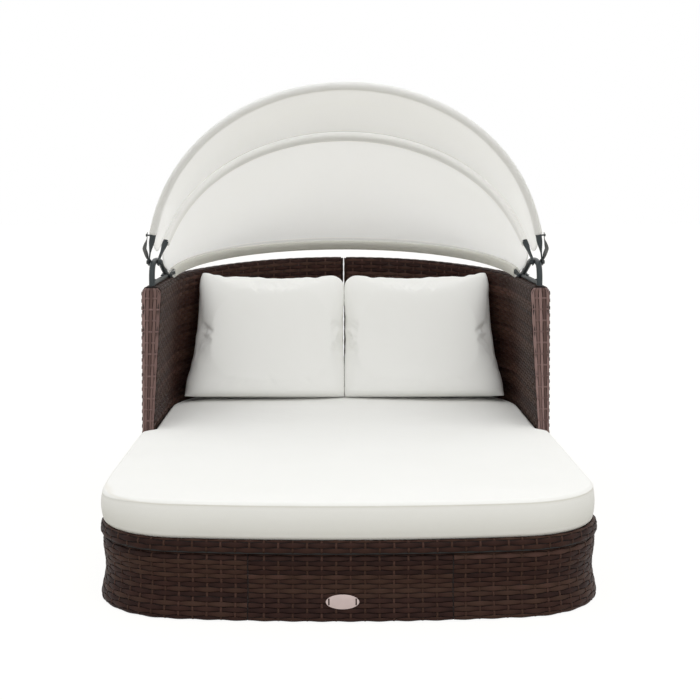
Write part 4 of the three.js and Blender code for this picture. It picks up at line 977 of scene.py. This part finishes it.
def hoodCover():
    ring = np.linspace(0, 1, hood["rings"])
    front, middle, rear = (sleeveFrame(name, ring) for name in sleeves)
    frontLeave, middleFront = leaveAngle(front, middle, 1), leaveAngle(middle, front, -1)
    middleBack, rearLeave = leaveAngle(middle, rear, 1), leaveAngle(rear, middle, -1)
    shares = np.arange(1, hood["panel"]) / hood["panel"]
    frontDrops, rearDrops = ([panelDrop(s, ring, panel["seed"], panel["span"]) for s in shares]
                             for panel in panels.values())
    full, steps, tip, cloth, pocket = 2 * math.pi, hood["hem"], hood["tip"], hood["cloth"], hood["pocket"]
    frontTip, middleTip, rearTip = frontLeave - tip, middleFront + tip - full, rearLeave + tip - full
    frontHang = (pivotFoot, pivotFoot), panels["front"]["hang"]
    rearHang = (pivotFoot, rearFoot), panels["rear"]["hang"]
    rearInner = panelLine(middle, middleBack, rear, rearLeave, cloth, rearDrops, *rearHang)
    rootReach = middle["halfWidth"] / np.linalg.norm(rearInner[0] - middle["middle"], axis=-1)
    pocketRoot = onSleeve(middle, middleBack, cloth)
    pocketRoot = pocketRoot + (rearInner[0] - pocketRoot) * np.minimum(rootReach, 1)[:, None]
    pocketTip = middleBack - tip * hood["pocketTip"]
    follows = middleFollows
    frontShade, middleShade, rearShade = front["doubledShade"], middle["doubledShade"], rear["doubledShade"]
    pieces = [  # points, weight at the start and at the end, share of painted shade for doubled cloth
        (hemLine(front, frontTip, frontLeave - full, steps, 0), 1, 1, frontShade),
        (panelLine(front, frontLeave, middle, middleFront, 0, frontDrops, *frontHang), 1, follows, 0),
        (hemLine(middle, middleFront, middleBack, pocket, 0), follows, follows, middleShade),
        (panelLine(middle, middleBack, rear, rearLeave, 0, rearDrops, *rearHang), follows, 0, 0),
        (hemLine(rear, rearLeave, rearTip, steps, 0), 0, 0, rearShade),
        (hemLine(rear, rearTip, rearLeave, steps, cloth), 0, 0, rearShade),
        (rearInner[::-1], 0, follows, 0),
        ([pocketRoot], follows, follows, middleShade),
        (hemLine(middle, pocketTip, middleTip, steps - pocket, 0), follows, follows, middleShade),
        (hemLine(middle, middleTip, middleFront, steps, cloth), follows, follows, middleShade),
        (panelLine(front, frontLeave, middle, middleFront, cloth, frontDrops, *frontHang)[::-1], follows, 1, 0),
        (hemLine(front, frontLeave - full, frontTip, steps, cloth), 1, 1, frontShade)]
    points, weights, doubledShade, inner = [], [], [], []
    for number, (line, start, end, shadeShare) in enumerate(pieces):
        count = len(line)
        points += line
        shares = np.arange(1, count + 1) / (count + 1)
        if (start, end) == (1, follows):  # the front panel's outer layer, then its inner one
            weights += foldedWeights(line, shares, hood["outerClear"])
        elif (start, end) == (follows, 1):
            weights += foldedWeights(line, 1 - shares, hood["innerClear"])
        else:
            weights += [np.full(hood["rings"], start + (end - start) * share) for share in shares]
        doubledShade += [shadeShare] * count
        # painted light: this mask marks where the faint glow is painted
        inner += [number == 0 or number > 4] * count  # the inner layer and the front sleeve glow a little
    points = np.stack(points, 1)
    # stitches run where the cloth goes from one thickness to another
    seam = (np.abs(np.diff(np.concatenate([doubledShade[-1:], doubledShade]))) > 0).astype(float)
    piece = linkMesh("hood_cover", points, ringGrid(*points.shape[:2]))
    pointAttribute(piece, "doubledShade", np.tile(doubledShade, len(points)))
    pointAttribute(piece, "seam", np.tile(seam, len(points)))
    pointAttribute(piece, "inner", np.tile(inner, len(points)))
    return piece, np.stack(weights, 1).ravel()


cover, coverWeights = hoodCover()
# both open ends of the cloth's thickness are closed
openEnds = bmesh.new()
openEnds.from_mesh(cover.data)
for side in (1, -1):
    rim = [e for e in openEnds.edges if e.is_boundary and e.verts[0].co.x * side > 0]
    bmesh.ops.triangle_fill(openEnds, use_beauty=True, edges=rim, normal=(side, 0, 0))
bmesh.ops.recalc_face_normals(openEnds, faces=openEnds.faces)
openEnds.to_mesh(cover.data)
openEnds.free()
finishPiece(cover, hoodCloth, None, "hood_cloth", "canopy_cover")
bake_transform(cover, "daybed", "front_bow", Vector((0, *rearFoot)), hinge + Vector((0, 0, 0.1)))
pointAttribute(cover, "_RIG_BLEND", coverWeights)


# the cloth before it was sewn, two panels and three sleeves, worked out from the bows and not from the mesh
def hoodCut():
    share = np.linspace(0, 1, hood["rings"])
    turn = np.linspace(0, 2 * math.pi, hood["rings"])
    made = [sleeveFrame(name, share) for name in sleeves]
    crown = hood["rings"] // 2
    width = length = area = 0
    for first, last in zip(made, made[1:]):
        across = last["middle"] - first["middle"]
        along = np.diff((first["middle"] + last["middle"]) / 2, axis=0)
        taken = first["halfWidth"] + last["halfWidth"]
        area += np.linalg.norm(np.cross((across[1:] + across[:-1]) / 2, along), axis=1).sum()
        area -= taken * np.linalg.norm(along, axis=1).sum()
        length += np.linalg.norm(across[crown]) - taken
    for sleeve in made:
        x, y = squaredRound(turn, sleeve["square"])
        girth = np.hypot(np.diff(x * sleeve["halfWidth"]), np.diff(y * reachOut)).sum()
        run = np.linalg.norm(np.diff(sleeve["middle"], axis=0), axis=1).sum()
        width, length, area = max(width, run), length + girth, area + girth * run
    return width, length, area


cutWidth, cutLength, cutArea = hoodCut()
print("hood made")


# mattress and pillows
mattress = {"low": 0.2003, "thickness": 0.102, "crown": 0.006, "crownReach": 0.12, "shoulder": 0.055,
            "inFit": -0.0375, "outFit": -0.002, "bulge": 0.004, "footRound": 0.014, "topRound": 0.013,
            "seamHeight": 0.0875, "seam": 0.0006, "seamWidth": 0.0018, "threadDrop": 0.002, "threadWidth": 0.0016,
            "runs": 560, "aside": 0.0025, "slackRun": -0.72, "slackReach": 0.13, "slack": 0.012, "pressed": 0.005,
            "pressedFrom": 1.42, "pressedReach": 0.2, "quilt": 0.0035, "pucker": 0.0012}
pillow = {"width": 0.562, "height": 0.436, "thickness": 0.15, "seam": 0.004, "drawIn": 0.003, "taper": 0.037,
          "lean": 11, "turn": 9, "cells": (112, 88), "ripple": 0.004, "corners": (0.035, 0.085, 0.012),
          "innerEdge": 0.0005, "overlap": 0.004, "footForward": 0.045, "sink": 0.004, "wallGap": 0.006}
filling = {"cut": (1.02, 0.8, 1.02), "pressure": 4.0, "mostMove": 0.026, "share": 0.75, "fullFrom": 0.15,
           "quality": 6, "mass": 0.3, "stretch": 25, "shear": 12, "bend": 0.6, "frames": 20}


# inflates a copy as cloth and returns how far each point moved
def puffed(points, quads):
    copy = linkMesh("puffed", points, quads)
    cloth = copy.modifiers.new("cloth", "CLOTH")
    settings = cloth.settings
    settings.quality = filling["quality"]
    settings.mass = filling["mass"]
    settings.tension_stiffness = settings.compression_stiffness = filling["stretch"]
    settings.shear_stiffness = filling["shear"]
    settings.bending_stiffness = filling["bend"]
    settings.use_pressure = True
    settings.uniform_pressure_force = filling["pressure"]
    settings.effector_weights.gravity = 0
    cloth.collision_settings.use_collision = False
    cloth.point_cache.frame_start = 1
    cloth.point_cache.frame_end = filling["frames"]
    for number in range(1, filling["frames"] + 1):
        scene.frame_set(number)
    evaluated = copy.evaluated_get(bpy.context.evaluated_depsgraph_get())
    mesh = evaluated.to_mesh()
    moved = np.empty(len(mesh.vertices) * 3, np.float32)
    mesh.vertices.foreach_get("co", moved)
    evaluated.to_mesh_clear()
    moved = moved.reshape(-1, 3) - np.asarray(points, float).reshape(-1, 3)
    scene.frame_set(1)
    bpy.data.objects.remove(copy)
    length = np.linalg.norm(moved, axis=1)[:, None]
    return moved * np.minimum(1, filling["mostMove"] / np.maximum(length, 1e-9))


# from -1 to 1 in cells that get smaller towards both ends
def edgewise(cells):
    return np.sin((np.arange(cells + 1) / cells * 2 - 1) * math.pi / 2 * 0.9) / math.sin(math.pi / 2 * 0.9)


def edgeRipple(places, lead):
    return np.array([[noise.noise(Vector((p * 15, lead, 0.3))) + 0.6 * noise.noise(Vector((p * 34, lead, 1.3)))
                      for p in row] for row in places])


# a pillow standing upright: two faces of cells that share their edge
def pillowShape():
    cellsX, cellsZ = pillow["cells"]
    v, u = np.meshgrid(edgewise(cellsZ), edgewise(cellsX))
    taper = pillow["taper"] * v * pillow["width"] / 2
    x = u * (pillow["width"] / 2 - taper - pillow["drawIn"] * (1 - v * v) * (u > 0)) - taper
    z = v * (pillow["height"] / 2 - pillow["drawIn"] * (1 - u * u) * (v > 0))
    corner = np.where(v > 0, np.where(u > 0, pillow["corners"][0], pillow["corners"][1]), pillow["corners"][2])
    shrink = 1 - corner * (u * v) ** 8
    x, z = x * shrink, z * shrink
    alongTop, alongSides = edgeRipple(x, 4.4), edgeRipple(z, 9.1)
    z = z + pillow["ripple"] * alongTop * np.clip(v, 0, 1) ** 14
    x = x + 0.5 * pillow["ripple"] * alongSides * np.abs(u) ** 14
    upright = np.where(v > 0, np.clip(1 - v ** 4, 0, 1) ** 0.9, np.clip(1 - v ** 16, 0, 1))
    crown = np.sqrt(np.clip(1 - u ** 6, 0, 1) * upright)
    half = pillow["seam"] / 2 + (pillow["thickness"] / 2 - pillow["seam"] / 2) * crown
    faces = [np.stack([x, side * half, z], -1) for side in (-1, 1)]
    index = np.arange(x.size).reshape(x.shape)
    edge = np.zeros(x.shape, bool)
    edge[0], edge[-1], edge[:, 0], edge[:, -1] = (True,) * 4
    points = [faces[0].reshape(-1, 3)]
    points[0][edge.ravel(), 1] = 0
    back = np.full(x.shape, -1)
    back[edge] = index[edge]
    back[~edge] = x.size + np.arange((~edge).sum())
    points.append(faces[1][~edge])
    quads = []
    for grid, order in ((index, (0, 1, 2, 3)), (back, (3, 2, 1, 0))):
        cells = [grid[:-1, :-1], grid[1:, :-1], grid[1:, 1:], grid[:-1, 1:]]
        quads.append(np.stack([cells[k] for k in order], -1).reshape(-1, 4))
    seam = np.concatenate([edge.ravel().astype(float), np.zeros((~edge).sum())])
    return np.concatenate(points), np.concatenate(quads), seam


def fitted(points, low, high):
    have = points.min(0), points.max(0)
    return low + (points - have[0]) * (high - low) / (have[1] - have[0])


def pillowLocal():
    points, quads, seam = pillowShape()
    low, high = points.min(0), points.max(0)
    start = points * np.array(filling["cut"])
    swollen = start + puffed(start, quads)
    share = (filling["share"] * np.clip((points[:, 2] - low[2]) / filling["fullFrom"], 0, 1))[:, None]
    points = fitted(points + (fitted(swollen, low, high) - points) * share, low, high)
    return points, quads, seam


pillowPoints, pillowQuads, pillowSeams = pillowLocal()
print("pillow shaped")


# how far back the wall's inner face is, which the pillows lean on
def wallInnerFace(x, z):
    inner = innerStand(z, wallTop(x, 0 * x))
    sideways = np.maximum(np.abs(x) - rearCornerX, 0)
    return frontY + rearCornerY + np.sqrt(np.maximum((plan["rearCorner"] + inner) ** 2 - sideways ** 2, 0))


def pillowPiece(name, side, node):
    low, high = (np.array(v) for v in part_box(node))
    lean, turn = math.radians(-pillow["lean"]), math.radians(-pillow["turn"])
    matrix = np.array(Matrix.Rotation(lean, 3, "X") @ Matrix.Rotation(turn, 3, "Z"))
    points = pillowPoints @ matrix.T
    points = points - (points.min(0) + points.max(0)) / 2
    points[:, 0] *= side
    points = points + (low + high) / 2
    inner = side * pillow["innerEdge"]
    nearest = points[:, 0].min() if side > 0 else points[:, 0].max()
    points[:, 0] += inner - nearest - side * pillow["overlap"]
    # the two pillows press flat against each other
    points[:, 0] = side * np.maximum(side * points[:, 0], pillow["innerEdge"])
    lowest = mattress["low"] + mattress["thickness"] - mattress["pressed"]
    share = np.clip((points[:, 2] - lowest) / (high[2] - lowest), 0, 1)
    points[:, 1] -= pillow["footForward"] * (1 - share) ** 1.5
    points[:, 2] += (lowest - pillow["sink"] - points[:, 2].min()) * (1 - share)
    points[:, 2] = np.maximum(points[:, 2], lowest)
    points[:, 1] = np.minimum(points[:, 1], wallInnerFace(points[:, 0], points[:, 2]) - pillow["wallGap"])
    piece = linkMesh(name, points, pillowQuads)
    pointAttribute(piece, "seam", pillowSeams)
    finishPiece(piece, creamCloth, "daybed", "cream_cloth", node)
    subdivided(piece)
    return piece


pillowPiece("pillow_cushion_right", 1, "pillow_right")
pillowPiece("pillow_cushion_left", -1, "pillow_left")
print("pillows made")


# the seam is a low ridge where the side turns into the top
def mattressSection():
    low, height = mattress["low"], mattress["thickness"] - mattress["crown"]
    foot, turn = mattress["footRound"], mattress["topRound"]
    points = [(foot + 0.03, 0), (foot + 0.01, 0.0001)]
    points += [(foot * (1 - math.sin(t)), foot * (1 - math.cos(t))) for t in np.linspace(0, math.pi / 2, 8)]
    points += [(-mattress["bulge"] * math.sin(math.pi * s) ** 0.8, foot + (height - turn - foot) * s)
               for s in np.linspace(0, 1, 15)[1:]]
    points += [(turn * (1 - math.cos(t)), height - turn + turn * math.sin(t))
               for t in np.linspace(0, math.pi / 2, 16)[1:-1]]
    for s in np.linspace(0, 1, 16):
        inset = turn + (mattress["crownReach"] - turn) * s
        points.append((inset, height + mattress["crown"] * math.sin(s * math.pi / 2)))
    points = np.array(points)
    away = np.gradient(points, axis=0)
    away = np.stack([-away[:, 1], away[:, 0]], -1) / np.hypot(*away.T)[:, None]
    seamAt = np.abs(points[:, 1] - mattress["seamHeight"]) * (points[:, 0] < turn)
    ridge = mattress["seam"] * np.exp(-(seamAt / mattress["seamWidth"]) ** 2) * (points[:, 0] < turn)
    points += away * ridge[:, None]
    points[:, 1] += low
    return points


# it follows the base's outline and steps in where the arms begin
def mattressOutline():
    runs = np.linspace(-halfRun, halfRun, mattress["runs"], endpoint=False)
    x, y, nx, ny = planPlace(runs)
    past = y - frontY - (wall["armFront"] - mattress["shoulder"])
    share = smoothStep(np.clip(past / mattress["shoulder"], 0, 1))
    fit = mattress["outFit"] + (mattress["inFit"] - mattress["outFit"]) * share
    aside = mattress["aside"] * (1 - share)
    slack = mattress["slack"] * np.exp(-((runs - mattress["slackRun"]) / mattress["slackReach"]) ** 2)
    return np.stack([x + nx * fit - aside, y + ny * fit], -1), np.stack([nx, ny], -1), slack


def mattressPiece():
    outline, normal, slack = mattressOutline()
    section = mattressSection()
    middle = np.array([0, frontY + plan["length"] / 2])
    rings = []
    rim = outline - normal * section[0, 0]
    for share in (0.02, 0.3, 0.7):
        rings.append(np.column_stack([middle + (rim - middle) * share, np.full(len(rim), section[0, 1])]))
    for inset, z in section:  # the cover hangs slack at one front corner
        share = (z - mattress["low"]) / mattress["thickness"]
        fade = max(0, 1 - inset / mattress["crownReach"])
        loose = slack * math.sin(math.pi * min(share / 1.9, 1)) ** 2 * fade
        rings.append(np.column_stack([outline - normal * inset + normal * (0.15 * loose[:, None]), z - loose]))
    rim = outline - normal * section[-1, 0]
    for share in np.linspace(1, 0.02, 30)[1:]:
        rings.append(np.column_stack([middle + (rim - middle) * share, np.full(len(rim), section[-1, 1])]))
    points = np.concatenate(rings)
    count = len(outline)
    centres = [(*middle, section[0, 1]), (*middle, section[-1, 1])]
    last, ends = (len(rings) - 1) * count, len(points)
    fans = [((k + 1) % count, k, ends) for k in range(count)]
    fans += [(last + k, last + (k + 1) % count, ends + 1) for k in range(count)]
    points = np.concatenate([points, centres])
    heights = points[:, 2] - mattress["low"]
    seam = np.exp(-((heights - mattress["seamHeight"] + mattress["threadDrop"]) / mattress["threadWidth"]) ** 2)
    # the top is pressed down under the pillows, and lightly quilted and puckered
    for i, (x, y, z) in enumerate(points):
        onTop = min(max((z - mattress["low"] - mattress["seamHeight"]) / 0.004, 0), 1)
        pressed = min(max((y - frontY - mattress["pressedFrom"]) / mattress["pressedReach"], 0), 1)
        if onTop:
            points[i, 2] -= onTop * mattress["pressed"] * smoothStep(pressed)
            quilt, pucker = (abs(noise.noise(Vector((x * n, y * n, layer)))) for n, layer in ((4, 2.2), (22, 8)))
            points[i, 2] -= onTop * (mattress["quilt"] * quilt + mattress["pucker"] * pucker)
    piece = linkMesh("mattress_pad", points, ringGrid(len(rings), count), True, fans)
    pointAttribute(piece, "seam", seam)
    finishPiece(piece, creamCloth, "daybed", "cream_cloth", "mattress")
    return piece


mattressPiece()
print("mattress made")


# bare oval plate on the skirt's front, with a slot at each end
badge = {"x": -0.02, "z": 0.053, "width": 0.082, "height": 0.035, "thickness": 0.0016, "slotWidth": 0.0035,
         "slotHeight": 0.016, "slotAt": 0.0335, "stand": 0.0026, "edge": 0.0005}


def badgePlace():
    place, normal = skirtSurface(np.array([badge["x"]]), badge["z"])
    return Vector(place[0] + normal[0] * badge["stand"]), Vector(normal[0])


badgeAt, badgeNormal = badgePlace()
badgeTurn = Vector((0, -1, 0)).rotation_difference(badgeNormal)
deselectAll()
bpy.ops.mesh.primitive_cylinder_add(vertices=96, radius=0.5, depth=badge["thickness"], rotation=(math.pi / 2, 0, 0))
plate = bpy.context.object
plate.name = "badge_plate"
plate.scale = (badge["width"], badge["height"], 1)
applyPlace(plate)
for side in (1, -1):
    bpy.ops.mesh.primitive_cube_add(size=1, location=(side * badge["slotAt"], 0, 0),
                                    scale=(badge["slotWidth"], 0.02, badge["slotHeight"]))
    combine(plate, bpy.context.object)
edgeRound = plate.modifiers.new("round", "BEVEL")
edgeRound.width, edgeRound.segments, edgeRound.limit_method = badge["edge"], 3, "ANGLE"
applyModifiers(plate)
plate.rotation_mode = "QUATERNION"
plate.rotation_quaternion = badgeTurn
plate.location = badgeAt
applyPlace(plate)
activate(plate)
bpy.ops.object.shade_smooth_by_angle(angle=math.radians(35))
finishPiece(plate, badgeMetal, "daybed", "zinc_plated")
print("badge made")


# camera, floor and light
view = {"place": (-0.0467, -3.3738, 1.0814), "pitch": 1.998, "yaw": 0.764, "lens": 71.517, "shift": -0.1714}
camera = bpy.data.objects.new("camera", bpy.data.cameras.new("camera"))
scene.collection.objects.link(camera)
camera.location = (view["place"][0], view["place"][1] + frontY, view["place"][2])
camera.rotation_euler = (math.radians(90 - view["pitch"]), 0, math.radians(-view["yaw"]))
camera.data.lens = view["lens"]
camera.data.sensor_width = 36
camera.data.shift_y = view["shift"]
camera.data.clip_start = 0.05
scene.camera = camera

studio = {"floorSize": 60, "ground": (0.34, 0.32, 0.25, 1), "glow": 1.3, "glowShare": 0.72}
lamps = {"overhead": {"place": (0.1, -0.6, 3.6), "aim": (0, 0, 0.2), "size": 3.0, "power": 6},
         "front": {"place": (0.9, -3.6, 2.6), "aim": (0, 0.2, 0.7), "size": 2.4, "power": 14}}

deselectAll()
bpy.ops.mesh.primitive_plane_add(size=studio["floorSize"], location=(0, 0, cadLow.z))
floor = bpy.context.object
floor.name = "floor"
floorMaterial = bpy.data.materials.new("floor")
floorMaterial.use_nodes = True
tree = floorMaterial.node_tree
tree.nodes.remove(tree.nodes["Principled BSDF"])
diffuse = tree.nodes.new("ShaderNodeBsdfDiffuse")
diffuse.inputs["Color"].default_value = studio["ground"]
glow = tree.nodes.new("ShaderNodeEmission")
glow.inputs["Strength"].default_value = studio["glow"]
rays = tree.nodes.new("ShaderNodeLightPath")  # white to the camera and in mirrored rays, darker ground to the rest
mixFloor = tree.nodes.new("ShaderNodeMixShader")
mirrored = mathNode(tree, "MAXIMUM", rays.outputs["Is Glossy Ray"], rays.outputs["Is Transmission Ray"])
seenWhite = mathNode(tree, "MAXIMUM", rays.outputs["Is Camera Ray"], mirrored)
tree.links.new(mathNode(tree, "MULTIPLY", seenWhite, studio["glowShare"]), mixFloor.inputs[0])
tree.links.new(diffuse.outputs[0], mixFloor.inputs[1])
tree.links.new(glow.outputs[0], mixFloor.inputs[2])
tree.links.new(mixFloor.outputs[0], tree.nodes["Material Output"].inputs[0])
floor.data.materials.append(floorMaterial)

world = scene.world or bpy.data.worlds.new("studio")
scene.world = world
world.use_nodes = True
background = world.node_tree.nodes["Background"]  # the same plain white for every ray
background.inputs["Color"].default_value = (1, 1, 1, 1)
background.inputs["Strength"].default_value = 1.0

for name, lamp in lamps.items():
    light = bpy.data.lights.new(name, "AREA")
    light.size, light.energy = lamp["size"], lamp["power"]
    stand = bpy.data.objects.new(name, light)
    scene.collection.objects.link(stand)
    stand.location = lamp["place"]
    stand.rotation_euler = (Vector(lamp["aim"]) - Vector(lamp["place"])).to_track_quat("-Z", "Y").to_euler()
scene.view_settings.view_transform = "Standard"
print("camera and lights placed")
